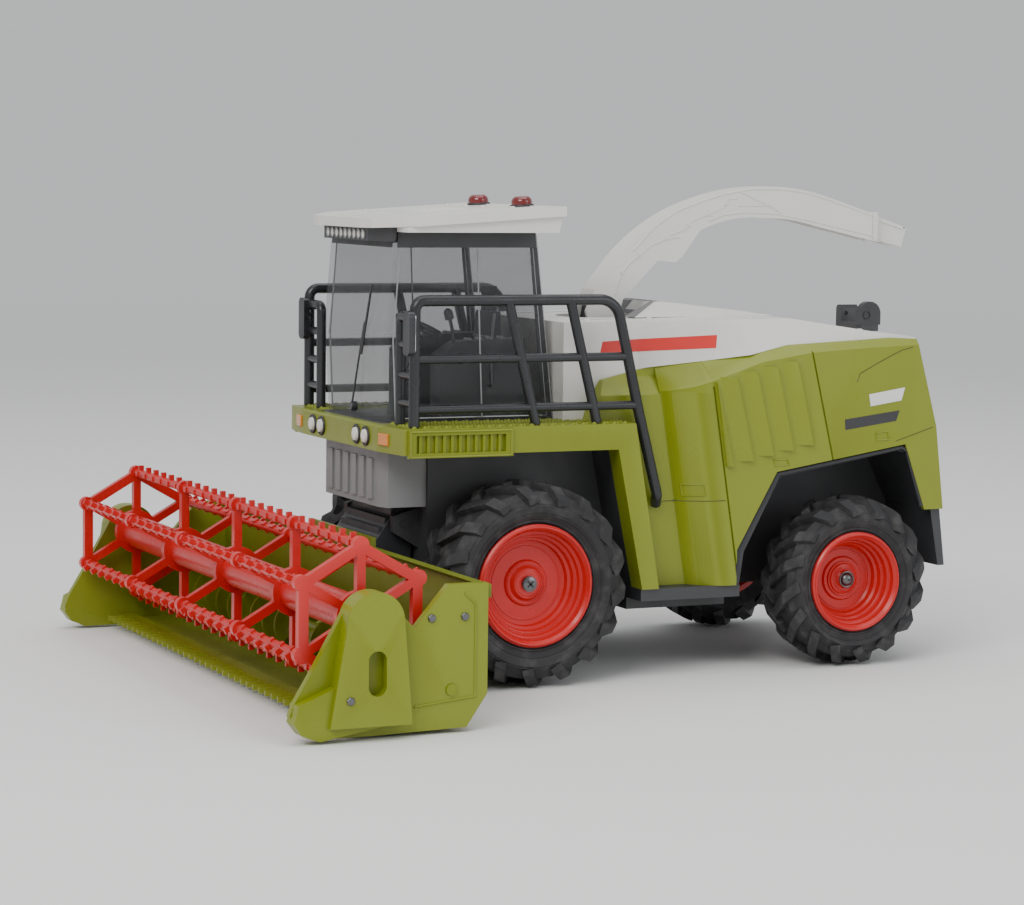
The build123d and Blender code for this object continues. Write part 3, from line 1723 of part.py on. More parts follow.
with BuildPart() as header_side:
    add(side_bar(shield_outline, shield_in, shield_in + shield_thickness))
    add(side_bar(tower_outline, shield_in, shield_in + shield_thickness + tower_thickness))
    add(cross_rod(reel_y, reel_z, tower_radius, shield_in, shield_in + shield_thickness + tower_thickness))
    add(side_bar(divider_outline, shield_in, shield_in + shield_thickness + tower_thickness * 0.7))
    with BuildSketch(side_plane(shield_in + shield_thickness + 1.6)):
        with Locations((reel_y + 0.5, reel_z - 17)):
            SlotOverall(15, 6.4, rotation=90)
    extrude(amount=tower_thickness, mode=Mode.SUBTRACT)
    add(
        cross_rod(reel_y, reel_z, reel_shaft_radius + running_gap, 0, shield_in + 4.5),
        mode=Mode.SUBTRACT,
    )
    add(
        cross_rod(auger_y, auger_z, auger_shaft_radius + running_gap, 0, shield_in + 4.5),
        mode=Mode.SUBTRACT,
    )
finish(header_side, "header_side_left")
finish_mirrored(header_side, "header_side_right")

# Cutter bar: a comb of pointed fingers along the floor's front edge
finger_count = int((header_inner_half * 2 - 6) / cutter_pitch)
cutter_half = finger_count * cutter_pitch / 2
comb = [(-cutter_half, floor_front + 5), (-cutter_half, floor_front - 1)]
for index in range(finger_count):
    x = -cutter_half + index * cutter_pitch
    comb.append((x + 1.5, floor_front - 1))
    comb.append((x + cutter_pitch / 2 - 0.5, floor_front - cutter_length))
    comb.append((x + cutter_pitch / 2 + 0.5, floor_front - cutter_length))
    comb.append((x + cutter_pitch - 1.5, floor_front - 1))
comb += [(cutter_half, floor_front - 1), (cutter_half, floor_front + 5)]
with BuildPart() as cutterbar:
    add(prism(plan_plane(header_floor_z + header_skin), comb, cutter_thickness))
finish(cutterbar, "cutterbar")

# Reel: centre tube, spiders at every segment end, six tine bars and their tines.
# Each tine is one short flat finger. The bars' outer ends stand in two end plates.
reel_plane = side_plane(0)
spider_x = [
    -reel_half_length + index * (2 * reel_half_length - spider_thickness) / reel_segments
    for index in range(reel_segments + 1)
]
bar_turn = 360 / reel_bars
with BuildPart() as spider:
    with BuildSketch(side_plane(0)):
        with Locations((reel_y, reel_z)):
            Circle(reel_tube_radius + 2.4)
        for index in range(reel_bars):
            angle = bar_turn * (index + 0.5)
            turn = math.radians(angle)
            middle = (reel_tube_radius + reel_bar_circle) / 2
            length = reel_bar_circle - reel_tube_radius + 1
            with Locations((reel_y + middle * math.cos(turn), reel_z + middle * math.sin(turn))):
                Rectangle(length, 3.0, rotation=angle)
            bar_y = reel_y + reel_bar_circle * math.cos(turn)
            bar_z = reel_z + reel_bar_circle * math.sin(turn)
            with Locations((bar_y, bar_z)):
                Circle(reel_bar_radius + 1.2)
    extrude(amount=spider_thickness)
with BuildPart() as end_rim:
    with BuildSketch(side_plane(0)):
        with Locations((reel_y, reel_z)):
            RegularPolygon(reel_bar_circle + 1.4, reel_bars, rotation=bar_turn / 2)
            RegularPolygon(
                reel_bar_circle - 2.6, reel_bars, rotation=bar_turn / 2, mode=Mode.SUBTRACT
            )
    extrude(amount=spider_thickness)
with BuildPart() as tine_bar:
    turn = math.radians(bar_turn / 2)
    bar_y = reel_y + reel_bar_circle * math.cos(turn)
    bar_z = reel_z + reel_bar_circle * math.sin(turn)
    add(cross_rod(bar_y, bar_z, reel_bar_radius, -reel_half_length, reel_half_length))
    segment = (2 * reel_half_length - spider_thickness) / reel_segments
    tine_gap = (segment - spider_thickness) / tines_per_segment
    tine_row = []
    for index in range(reel_segments):
        for place in range(tines_per_segment):
            x = spider_x[index] + spider_thickness + tine_gap * (place + 0.5)
            tine_row.append((x, 0))
    outward = Plane(
        origin=(0, front_axle_y + bar_y, bar_z),
        x_dir=(1, 0, 0),
        z_dir=(0, math.cos(turn), math.sin(turn)),
    )
    with BuildSketch(outward.offset(-1.0)):
        with Locations(*tine_row):
            Rectangle(tine_thickness, tine_thickness * 1.3)
    extrude(amount=4.4)
    with BuildSketch(outward.offset(0)):
        with Locations(*tine_row):
            Rectangle(tine_thickness + 1.1, 2 * reel_bar_radius + 1.0)
    extrude(amount=1.0, both=True)
reel_axis = Axis((0, front_axle_y + reel_y, reel_z), (1, 0, 0))
with BuildPart() as reel:
    add(cross_rod(reel_y, reel_z, reel_tube_radius, -reel_half_length, reel_half_length))
    add(
        cross_rod(
            reel_y, reel_z, reel_shaft_radius, -header_inner_half - 3.6, header_inner_half + 3.6
        )
    )
    for x in spider_x:
        add(Pos(x, 0, 0) * spider.part)
    for x in (spider_x[0], spider_x[-1]):
        add(Pos(x, 0, 0) * end_rim.part)
    for index in range(reel_bars):
        add(tine_bar.part.rotate(reel_axis, index * bar_turn))
finish(reel, "reel")


# Auger: a tube with a left-hand and a right-hand flight that meet at the throat
def flight(x_start, x_end, left_handed):
    """One helical flight between two stations along the auger."""
    length = x_end - x_start
    middle = (auger_tube_radius + auger_radius) / 2 - 0.4
    with BuildPart() as blade:
        with BuildLine() as route:
            Helix(
                pitch=auger_pitch,
                height=length,
                radius=middle,
                center=(x_start, front_axle_y + auger_y, auger_z),
                direction=(1, 0, 0),
                lefthand=left_handed,
            )
        start = route.line @ 0
        centre = Vector(x_start, front_axle_y + auger_y, auger_z)
        radial = (start - centre).normalized()
        heading = route.line % 0
        with BuildSketch(Plane(origin=start, x_dir=radial, z_dir=heading)):
            Rectangle(auger_radius - auger_tube_radius + 0.8, auger_flight)
        sweep(is_frenet=True)
    return blade.part


auger_reach = header_inner_half - 2.0
with BuildPart() as auger:
    add(cross_rod(auger_y, auger_z, auger_tube_radius, -auger_reach, auger_reach))
    add(
        cross_rod(
            auger_y, auger_z, auger_shaft_radius, -header_inner_half - 3.6, header_inner_half + 3.6
        )
    )
    add(flight(-auger_reach + 2, -feeder_half_width + 8, False))
    add(flight(feeder_half_width - 8, auger_reach - 2, True))
    for index in range(3):
        turn = math.radians(index * 120 + 20)
        finger = Plane(
            origin=((index - 1) * 7, front_axle_y + auger_y, auger_z),
            x_dir=(1, 0, 0),
            z_dir=(0, math.cos(turn), math.sin(turn)),
        )
        with BuildSketch(finger):
            Circle(0.9)
        extrude(amount=auger_radius - 0.3)
finish(auger, "auger")
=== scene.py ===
import math

import bmesh
import bpy
from mathutils import Matrix, Vector
from mathutils.bvhtree import BVHTree


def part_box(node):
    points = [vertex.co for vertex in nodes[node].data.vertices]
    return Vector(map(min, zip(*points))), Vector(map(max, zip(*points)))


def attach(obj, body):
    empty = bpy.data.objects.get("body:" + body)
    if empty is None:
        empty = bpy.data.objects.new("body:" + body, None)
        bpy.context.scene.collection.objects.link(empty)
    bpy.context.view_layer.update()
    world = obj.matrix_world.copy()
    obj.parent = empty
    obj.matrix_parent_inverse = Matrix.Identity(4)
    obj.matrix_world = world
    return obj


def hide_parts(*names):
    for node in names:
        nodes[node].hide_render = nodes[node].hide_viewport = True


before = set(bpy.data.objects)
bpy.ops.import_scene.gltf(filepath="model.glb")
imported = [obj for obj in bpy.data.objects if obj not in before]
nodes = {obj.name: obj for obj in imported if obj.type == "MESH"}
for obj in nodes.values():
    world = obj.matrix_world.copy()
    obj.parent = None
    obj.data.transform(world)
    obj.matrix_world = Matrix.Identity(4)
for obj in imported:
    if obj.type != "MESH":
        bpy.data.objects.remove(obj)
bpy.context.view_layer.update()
AXLE = -0.03525  # the front axle along Y, in metres


def P(x, y, z):
    """Millimetres, with y rearward of the front axle, to metres in the shared frame."""
    return Vector((x / 1000, y / 1000 + AXLE, z / 1000))


# ---------------------------------------------------------------- materials
def socket(shader, name, value):
    """Sets an input that the shader may have."""
    if name in shader.inputs:
        shader.inputs[name].default_value = value


def noise(tree, coord, scale, detail, rough=0.5):
    """Soft noise in the piece's own coordinates."""
    node = tree.nodes.new("ShaderNodeTexNoise")
    node.inputs["Scale"].default_value = scale
    node.inputs["Detail"].default_value = detail
    node.inputs["Roughness"].default_value = rough
    tree.links.new(coord.outputs["Object"], node.inputs["Vector"])
    return node.outputs["Fac"]


def ramp(tree, value, start, end, low, high):
    """Turns a value into a colour that goes from low to high between start and end."""
    node = tree.nodes.new("ShaderNodeValToRGB")
    first, last = node.color_ramp.elements
    first.position, last.position = start, end
    first.color, last.color = (*low, 1), (*high, 1)
    tree.links.new(value, node.inputs["Fac"])
    return node.outputs["Color"]


def overlay(tree, share, tone, color):
    """Lays a colour over a tone by a share."""
    node = tree.nodes.new("ShaderNodeMixRGB")
    node.inputs[2].default_value = (*color, 1)
    tree.links.new(share, node.inputs[0])
    tree.links.new(tone, node.inputs[1])
    return node.outputs[0]


def spread(tree, value, low, high, start=0.0, end=1.0):
    """Maps a value between start and end to a number between low and high."""
    node = tree.nodes.new("ShaderNodeMapRange")
    for name, number in (("From Min", start), ("From Max", end), ("To Min", low), ("To Max", high)):
        node.inputs[name].default_value = number
    tree.links.new(value, node.inputs["Value"])
    return node.outputs["Result"]


def bump(tree, height, strength, distance):
    """A bump node driven by a height."""
    node = tree.nodes.new("ShaderNodeBump")
    node.inputs["Strength"].default_value = strength
    node.inputs["Distance"].default_value = distance
    tree.links.new(height, node.inputs["Height"])
    return node


DUST = (0.30, 0.29, 0.27)


def moulded(name, color, rough=0.4, grain=0.5, grain_scale=2600, vary=0.06, edge_sheen=0.0,
            coat=0.0, metallic=0.0, spec=0.5, rough_vary=0.08, dust=0.0):
    """Moulded plastic, rubber or metal: mottled colour, uneven gloss, fine grain."""
    mat = bpy.data.materials.new(name)
    mat.use_nodes = True
    tree = mat.node_tree
    tree.nodes.clear()
    link = tree.links.new
    out = tree.nodes.new("ShaderNodeOutputMaterial")
    bsdf = tree.nodes.new("ShaderNodeBsdfPrincipled")
    link(bsdf.outputs[0], out.inputs[0])
    coord = tree.nodes.new("ShaderNodeTexCoord")
    # Colour: clouds, sharp edges made paler as a painted highlight, and dust in specks
    low = [c * (1 - vary) for c in color]
    high = [min(1, c * (1 + vary)) for c in color]
    tone = ramp(tree, noise(tree, coord, 38, 5, 0.6), 0.3, 0.72, low, high)
    if edge_sheen > 0:
        geo = tree.nodes.new("ShaderNodeNewGeometry")
        edges = ramp(tree, geo.outputs["Pointiness"], 0.53, 0.62, (0, 0, 0), (edge_sheen, edge_sheen, edge_sheen))
        tone = overlay(tree, edges, tone, [min(1, c * 1.35 + 0.05) for c in color])
    if dust > 0:
        specks = ramp(tree, noise(tree, coord, 190, 7), 0.48, 0.8, (0, 0, 0), (dust, dust, dust))
        tone = overlay(tree, specks, tone, DUST)
    link(tone, bsdf.inputs["Base Color"])
    # Gloss: uneven by rough_vary either way
    gloss = spread(tree, noise(tree, coord, 110, 6),
                   max(0.03, rough - rough_vary), min(1, rough + rough_vary), 0.3, 0.7)
    link(gloss, bsdf.inputs["Roughness"])
    # Surface: slow sink marks under the fine grain
    sink = bump(tree, noise(tree, coord, 75, 2), 0.10, 0.0006)
    fine = bump(tree, noise(tree, coord, grain_scale, 3), grain, 0.00004)
    link(sink.outputs["Normal"], fine.inputs["Normal"])
    link(fine.outputs["Normal"], bsdf.inputs["Normal"])
    socket(bsdf, "Metallic", metallic)
    socket(bsdf, "Specular IOR Level", spec)
    socket(bsdf, "Coat Weight", coat)
    socket(bsdf, "Coat Roughness", 0.12)
    return mat


def clear(name, color, alpha):
    """Clear moulded glazing that shows what is behind it."""
    mat = bpy.data.materials.new(name)
    mat.use_nodes = True
    tree = mat.node_tree
    bsdf = tree.nodes["Principled BSDF"]
    haze = noise(tree, tree.nodes.new("ShaderNodeTexCoord"), 45, 4)
    tree.links.new(spread(tree, haze, 0.05, 0.13), bsdf.inputs["Roughness"])
    tree.links.new(bump(tree, haze, 0.06, 0.0005).outputs["Normal"], bsdf.inputs["Normal"])
    socket(bsdf, "Base Color", (*color, 1))
    socket(bsdf, "Alpha", alpha)
    socket(bsdf, "IOR", 1.49)
    mat.surface_render_method = "BLENDED"
    return mat


LIME = (0.182, 0.214, 0.004)
# The edge setting of each material paints a highlight along its sharp edges
M = {
    "lime": moulded("lime_moulded", LIME, rough=0.34, grain=0.25, vary=0.05, edge_sheen=0.3, spec=0.36),
    "lime_dark": moulded("lime_shaded", (0.142, 0.167, 0.004), rough=0.4, grain=0.3, edge_sheen=0.2,
                         spec=0.36),
    "white": moulded("white_moulded", (0.64, 0.63, 0.60), rough=0.33, grain=0.2, vary=0.03, edge_sheen=0.2),
    "black": moulded("black_moulded", (0.020, 0.021, 0.024), rough=0.46, grain=0.6, vary=0.18,
                     edge_sheen=0.35),
    "rail": moulded("rail_moulded", (0.016, 0.017, 0.020), rough=0.30, grain=0.25, vary=0.15, edge_sheen=0.3),
    "grey": moulded("grey_moulded", (0.20, 0.205, 0.21), rough=0.5, grain=0.6, vary=0.08, edge_sheen=0.2),
    "shade": moulded("shade_grey", (0.16, 0.16, 0.165), rough=0.5, grain=0.4, vary=0.08),
    "red": moulded("red_moulded", (0.54, 0.013, 0.011), rough=0.32, grain=0.2, vary=0.06, edge_sheen=0.3),
    "amber_red": moulded("beacon_red", (0.16, 0.008, 0.008), rough=0.12, grain=0.1, coat=0.6),
    "lens": moulded("lamp_lens", (0.72, 0.70, 0.62), rough=0.12, grain=0.15, coat=0.5),
    "tail_lens": moulded("tail_lens", (0.42, 0.02, 0.015), rough=0.18, grain=0.1, coat=0.5),
    "rubber": moulded("tyre_rubber", (0.026, 0.026, 0.028), rough=0.62, grain=0.9, grain_scale=1500,
                      vary=0.2, spec=0.35, dust=0.16),
    "mirror": moulded("mirror_face", (0.62, 0.65, 0.68), rough=0.06, grain=0.03, metallic=1.0,
                      vary=0.02, rough_vary=0.02),
    "wrap": moulded("battery_wrap", (0.05, 0.08, 0.16), rough=0.4),
    "stripe_red": moulded("stripe_red", (0.62, 0.03, 0.025), rough=0.38, vary=0.04),
    "stripe_white": moulded("stripe_white", (0.72, 0.72, 0.70), rough=0.4, vary=0.03),
    "stripe_black": moulded("stripe_black", (0.03, 0.03, 0.032), rough=0.45, vary=0.1),
    "seam": moulded("seam_shadow", (0.22, 0.22, 0.215), rough=0.6, grain=0.2),
    # Dark lime for real seams and slots, and for painted shadow lines behind the louvres
    "lime_seam_and_shadow": moulded("lime_seam_and_shadow", (0.075, 0.085, 0.006), rough=0.55, grain=0.2),
    # Pale grey beads on the clear glazing's edges: painted highlight
    "edge": moulded("glazing_edge_highlight", (0.27, 0.28, 0.29), rough=0.15, grain=0.05, coat=0.5),
    "amber": moulded("amber_lens", (0.70, 0.22, 0.02), rough=0.16, grain=0.1, coat=0.5),
    "screw": moulded("screw_steel", (0.16, 0.16, 0.165), rough=0.3, grain=0.3, metallic=1.0, vary=0.1),
    "glass": clear("clear_glazing", (0.085, 0.09, 0.095), 0.21),
}

NODE_MATERIAL = {
    "lime": ["side_shell_left", "side_shell_right", "tail_panel", "platform_left", "platform_right",
             "front_bumper", "header_side_left", "header_side_right", "cutterbar", "auger"],
    "lime_dark": ["header_frame"],
    "white": ["engine_hood", "hood_hatch", "cab_roof", "spout_duct", "spout_flap"],
    "black": ["chassis_pan", "rear_axle_beam", "arch_liner_left", "arch_liner_right", "cab_floor",
              "driver_seat", "steering_column", "roof_lamp_band", "spout_cradle", "battery_door",
              "power_switch", "tow_hitch", "rear_left_knuckle", "rear_right_knuckle", "tie_rod",
              "spout_base", "feeder_house"],
    "rail": ["guard_rail_left", "guard_rail_right"],
    "grey": ["front_wall"],
    "red": ["front_left_rim", "front_right_rim", "rear_left_rim", "rear_right_rim", "reel"],
    "amber_red": ["beacons"],
    "lens": ["headlamps"],
    "rubber": ["front_left_tyre", "front_right_tyre", "rear_left_tyre", "rear_right_tyre"],
    "screw": ["front_axle"],
    "glass": ["cab_glazing"],
    "wrap": ["battery_pack"],
}
BEVEL = {  # in millimetres
    "side_shell_left": 0.55, "side_shell_right": 0.55, "engine_hood": 0.6, "cab_roof": 0.7,
    "platform_left": 0.5, "platform_right": 0.5, "header_side_left": 0.8, "header_side_right": 0.8,
    "spout_duct": 0.45, "spout_flap": 0.3, "hood_hatch": 0.4, "driver_seat": 1.0, "cab_floor": 0.7,
    "reel": 0.28, "feeder_house": 0.5, "front_bumper": 0.5, "front_wall": 0.4, "beacons": 0.7,
    "chassis_pan": 0.5, "arch_liner_left": 0.4, "arch_liner_right": 0.4, "spout_cradle": 0.5,
    "front_left_tyre": 0.35, "front_right_tyre": 0.35, "rear_left_tyre": 0.35, "rear_right_tyre": 0.35,
    "headlamps": 0.5, "steering_column": 0.3, "tail_panel": 0.4, "header_frame": 0.25,
    "cutterbar": 0.2, "auger": 0.15, "roof_lamp_band": 0.3,
}


def dress(obj, material, bevel=0.0, angle=32):
    """Material, smooth shading with crisp edges, and softened corners."""
    obj.data.materials.clear()
    obj.data.materials.append(material)
    for poly in obj.data.polygons:
        poly.use_smooth = True
        poly.material_index = 0
    obj.data.set_sharp_from_angle(angle=math.radians(angle))
    if bevel:
        mod = obj.modifiers.new("soft_corners", "BEVEL")
        mod.width = bevel / 1000
        mod.segments = 2
        mod.limit_method = "ANGLE"
        mod.angle_limit = math.radians(angle)
        mod.harden_normals = False
        mod.use_clamp_overlap = True


for key, names in NODE_MATERIAL.items():
    for name in names:
        dress(nodes[name], M[key], BEVEL.get(name, 0.0))


# ---------------------------------------------------------------- piece makers
def object_of(name, bm):
    """A mesh object in the scene, made of a finished bmesh."""
    mesh = bpy.data.meshes.new(name)
    bm.to_mesh(mesh)
    bm.free()
    obj = bpy.data.objects.new(name, mesh)
    bpy.context.scene.collection.objects.link(obj)
    return obj


def piece(name, bm, body, material, bevel=0.0, angle=32):
    """A new mesh piece that rides on a body."""
    bmesh.ops.recalc_face_normals(bm, faces=bm.faces)
    obj = object_of(name, bm)
    dress(obj, material, bevel, angle)
    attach(obj, body)


def prism_into(bm, outline, depth):
    """A closed prism: outline is a ring of points, depth the vector to its far end."""
    near = [bm.verts.new(p) for p in outline]
    far = [bm.verts.new(p + depth) for p in outline]
    bm.faces.new(near)
    bm.faces.new(list(reversed(far)))
    count = len(near)
    for i in range(count):
        j = (i + 1) % count
        bm.faces.new((near[i], far[i], far[j], near[j]))


def block_into(bm, low, high):
    """A box between two corners in millimetres."""
    a, b = P(*low), P(*high)
    ring = [Vector((x, y, a.z)) for x, y in ((a.x, a.y), (b.x, a.y), (b.x, b.y), (a.x, b.y))]
    prism_into(bm, ring, Vector((0, 0, b.z - a.z)))


def disc_into(bm, centre, axis, radius, depth, sides=20, crown=0.0):
    """A round boss with an optional crowned face, standing on centre along axis; in metres."""
    axis = axis.normalized()
    side = axis.orthogonal().normalized()
    up = axis.cross(side)
    rings = [(radius, 0.0), (radius, depth * 0.75), (radius * 0.86, depth)]
    if crown:
        rings += [(radius * 0.5, depth + crown * 0.75), (radius * 0.12, depth + crown)]
    loops = []
    for r, h in rings:
        loops.append([bm.verts.new(centre + axis * h + (side * math.cos(t) + up * math.sin(t)) * r)
                      for t in (2 * math.pi * k / sides for k in range(sides))])
    for one, two in zip(loops, loops[1:]):
        for k in range(sides):
            m = (k + 1) % sides
            bm.faces.new((one[k], one[m], two[m], two[k]))
    bm.faces.new(list(reversed(loops[0])))
    bm.faces.new(loops[-1])


def tube_into(bm, points, radius, sides=8):
    """A round bar along points; all in metres."""
    rings = []
    last_side = None
    for index, p in enumerate(points):
        a = points[max(index - 1, 0)]
        b = points[min(index + 1, len(points) - 1)]
        heading = (b - a).normalized()
        if last_side is None:
            side = heading.orthogonal().normalized()
        else:
            side = (last_side - heading * last_side.dot(heading)).normalized()
        last_side = side
        up = heading.cross(side)
        rings.append([bm.verts.new(p + (side * math.cos(t) + up * math.sin(t)) * radius)
                      for t in (2 * math.pi * k / sides for k in range(sides))])
    for one, two in zip(rings, rings[1:]):
        for k in range(sides):
            m = (k + 1) % sides
            bm.faces.new((one[k], one[m], two[m], two[k]))
    bm.faces.new(list(reversed(rings[0])))
    bm.faces.new(rings[-1])


# ---------------------------------------------------------------- floor, light, camera
def stage_plane(name, size, material, location):
    """A square of floor that belongs to the studio."""
    bm = bmesh.new()
    s = size / 2
    bm.faces.new([bm.verts.new((x, y, 0)) for x, y in ((-s, -s), (s, -s), (s, s), (-s, s))])
    obj = object_of(name, bm)
    obj.location = location
    obj.data.materials.append(material)


FLOOR_SIZE, FLOOR_DROP = 14.0, 0.0002
FADE_START, FADE_END = 0.45, 3.4  # metres from the machine, where the floor melts into the studio

floor_mat = bpy.data.materials.new("floor_paper")
floor_mat.use_nodes = True
floor_bsdf = floor_mat.node_tree.nodes["Principled BSDF"]
floor_bsdf.inputs["Base Color"].default_value = (0.80, 0.80, 0.79, 1)
floor_bsdf.inputs["Roughness"].default_value = 0.85
floor_tree = floor_mat.node_tree
floor_coord = floor_tree.nodes.new("ShaderNodeTexCoord")
floor_far = floor_tree.nodes.new("ShaderNodeVectorMath")
floor_far.operation = "LENGTH"
floor_tree.links.new(floor_coord.outputs["Object"], floor_far.inputs[0])
floor_fade = floor_tree.nodes.new("ShaderNodeMapRange")
floor_fade.interpolation_type = "SMOOTHERSTEP"
for input_name, number in (("From Min", FADE_START), ("From Max", FADE_END), ("To Min", 1.0),
                           ("To Max", 0.0)):
    floor_fade.inputs[input_name].default_value = number
floor_tree.links.new(floor_far.outputs["Value"], floor_fade.inputs["Value"])
floor_tree.links.new(floor_fade.outputs["Result"], floor_bsdf.inputs["Alpha"])
stage_plane("floor", FLOOR_SIZE, floor_mat, (0, 0, -FLOOR_DROP))

world = bpy.data.worlds.new("studio")
bpy.context.scene.world = world
world.use_nodes = True
sky = world.node_tree.nodes["Background"]
sky.inputs["Color"].default_value = (0.93, 0.94, 0.96, 1)
sky.inputs["Strength"].default_value = 0.66


def area_light(name, location, target, size, power, color=(1, 1, 1)):
    """A soft rectangular lamp aimed at target."""
    data = bpy.data.lights.new(name, "AREA")
    data.shape = "RECTANGLE"
    data.size, data.size_y = size
    data.energy = power
    data.color = color
    obj = bpy.data.objects.new(name, data)
    obj.location = location
    direction = Vector(target) - Vector(location)
    obj.rotation_mode = "QUATERNION"
    obj.rotation_quaternion = direction.to_track_quat("-Z", "Y")
    bpy.context.scene.collection.objects.link(obj)


area_light("key", (0.9, -1.0, 1.15), (0, 0, 0.08), (0.9, 0.7), 15.5, (1.0, 0.985, 0.96))
area_light("top", (0.0, 0.1, 1.4), (0, 0.0, 0.05), (1.3, 1.3), 10)
area_light("side", (1.3, 0.9, 0.6), (0, 0.02, 0.1), (0.8, 0.8), 5, (0.95, 0.97, 1.0))

# The photo's own viewing angle, turned a little so that the whole machine is in view
CAMERA_SPOT = (1043.76, -458.45, 188.7)
CAMERA_RIGHT, CAMERA_AHEAD = (0.47108, 0.88200, 0.01269), (-0.88024, 0.47098, -0.05802)
TURN_LEFT, TURN_DOWN = 3.6, -2.1  # degrees
camera_data = bpy.data.cameras.new("camera")
camera_data.sensor_width = 36
camera_data.lens = 106
camera_data.clip_start = 0.05
camera_data.clip_end = 50
camera = bpy.data.objects.new("camera", camera_data)
bpy.context.scene.collection.objects.link(camera)
right, ahead = Vector(CAMERA_RIGHT).normalized(), Vector(CAMERA_AHEAD).normalized()
up = right.cross(ahead).normalized()
swing = (Matrix.Rotation(math.radians(TURN_LEFT), 3, "Z")
         @ Matrix.Rotation(math.radians(TURN_DOWN), 3, right))
right, up, ahead = swing @ right, swing @ up, swing @ ahead
camera.rotation_mode = "QUATERNION"
camera.rotation_quaternion = Matrix((right, up, -ahead)).transposed().to_quaternion()
camera.location = P(*CAMERA_SPOT)
bpy.context.scene.camera = camera


# ---------------------------------------------------------------- details
def skin(*names):
    """A search tree over CAD nodes, for laying trim on their surfaces."""
    verts, faces = [], []
    for name in names:
        mesh = nodes[name].data
        base = len(verts)
        verts += [v.co.copy() for v in mesh.vertices]
        faces += [[base + i for i in poly.vertices] for poly in mesh.polygons]
    return BVHTree.FromPolygons(verts, faces)


def hit(tree, start, heading):
    """The first point met on the way, and the surface's direction facing the ray."""
    place, normal, _, _ = tree.ray_cast(start, heading)
    if place is None:
        return None, None
    if normal.dot(heading) > 0:
        normal = -normal
    return place, normal


def on_side(tree, side, y, z, lift=0.0):
    """The point of the skin at y, z as seen from the left (side 1) or right (-1)."""
    place, normal = hit(tree, P(side * 200, y, z), Vector((-side, 0, 0)))
    return None if place is None else place + normal * lift / 1000


def on_top(tree, x, y, lift=0.0):
    """The point of the skin at x, y as seen from above."""
    place, normal = hit(tree, P(x, y, 300), Vector((0, 0, -1)))
    return None if place is None else place + normal * lift / 1000


def walk(points, step=1.5):
    """Points closer together along a bent line of pairs."""
    out = [points[0]]
    for a, b in zip(points, points[1:]):
        count = max(1, int(math.dist(a, b) / step))
        out += [tuple(p + (q - p) * k / count for p, q in zip(a, b)) for k in range(1, count + 1)]
    return out


def side_line(bm, tree, side, points, radius, lift=0.0, step=1.5):
    """A thin bead that follows the side skin along a line of y, z pairs."""
    route = [on_side(tree, side, y, z, lift) for y, z in walk(points, step)]
    route = [p for p in route if p is not None]
    if len(route) > 1:
        tube_into(bm, route, radius / 1000, 6)


def top_line(bm, tree, points, radius, lift=0.0):
    """A thin bead that follows the skin from above along x, y pairs."""
    route = [on_top(tree, x, y, lift) for x, y in walk(points, 2.0)]
    route = [p for p in route if p is not None]
    if len(route) > 1:
        tube_into(bm, route, radius / 1000, 6)


def loop_of(points):
    """The same points, closed."""
    return points + [points[0]]


def patch_into(bm, tree, side, corners, lift, depth=0.35, across=6, along=12):
    """A thin sheet laid on the side skin between four y, z corners."""
    a, b, c, d = corners
    grid = []
    for i in range(along + 1):
        s = i / along
        low = (a[0] + (b[0] - a[0]) * s, a[1] + (b[1] - a[1]) * s)
        high = (d[0] + (c[0] - d[0]) * s, d[1] + (c[1] - d[1]) * s)
        row = []
        for j in range(across + 1):
            t = j / across
            y, z = low[0] + (high[0] - low[0]) * t, low[1] + (high[1] - low[1]) * t
            place = on_side(tree, side, y, z, lift)
            if place is None:
                return
            row.append((bm.verts.new(place), bm.verts.new(place - Vector((side * depth / 1000, 0, 0)))))
        grid.append(row)
    for k in (0, 1):
        for one, two in zip(grid, grid[1:]):
            for j in range(across):
                bm.faces.new((one[j][k], two[j][k], two[j + 1][k], one[j + 1][k]))
    rim = [(i, 0) for i in range(along)] + [(along, j) for j in range(across)]
    rim += [(i, across) for i in range(along, 0, -1)] + [(0, j) for j in range(across, 0, -1)]
    for (i, j), (m, n) in zip(rim, rim[1:] + rim[:1]):
        bm.faces.new((grid[i][j][0], grid[i][j][1], grid[m][n][1], grid[m][n][0]))


def ring_into(bm, centre, axis, radius, thick, sides=48):
    """A closed round bead about an axis; radius and thickness in millimetres."""
    axis = axis.normalized()
    u = axis.orthogonal().normalized()
    w = axis.cross(u)
    loops = []
    for k in range(sides):
        t = 2 * math.pi * k / sides
        out = u * math.cos(t) + w * math.sin(t)
        loops.append([bm.verts.new(centre + out * (radius + thick * math.cos(s)) / 1000
                                   + axis * thick * math.sin(s) / 1000)
                      for s in (2 * math.pi * m / 8 for m in range(8))])
    for k in range(sides):
        one, two = loops[k], loops[(k + 1) % sides]
        for m in range(8):
            n = (m + 1) % 8
            bm.faces.new((one[m], one[n], two[n], two[m]))


def screw_into(bm, cross, place, axis, radius, proud=0.5):
    """A domed screw head, and the cross on it in a mesh of its own; in millimetres."""
    disc_into(bm, place, axis, radius / 1000, proud / 1000, 20, proud * 0.4 / 1000)
    u = axis.orthogonal().normalized()
    w = axis.cross(u)
    top = place + axis * (proud * 1.34) / 1000
    for one, two in ((u, w), (w, u)):
        long, thin = one * radius * 0.62 / 1000, two * radius * 0.15 / 1000
        prism_into(cross, [top - long - thin, top + long - thin, top + long + thin, top - long + thin],
                   axis * 0.12 / 1000)


def stud_into(bm, place, size, height):
    """A four-sided anti-slip stud; in millimetres."""
    s = size / 2000
    corners = ((s, 0), (0, s), (-s, 0), (0, -s))
    base = [bm.verts.new(place + Vector((x, y, -0.0001))) for x, y in corners]
    cap = [bm.verts.new(place + Vector((x * 0.35, y * 0.35, height / 1000))) for x, y in corners]
    for k in range(4):
        m = (k + 1) % 4
        bm.faces.new((base[k], base[m], cap[m], cap[k]))
    bm.faces.new(cap)
    bm.faces.new(list(reversed(base)))


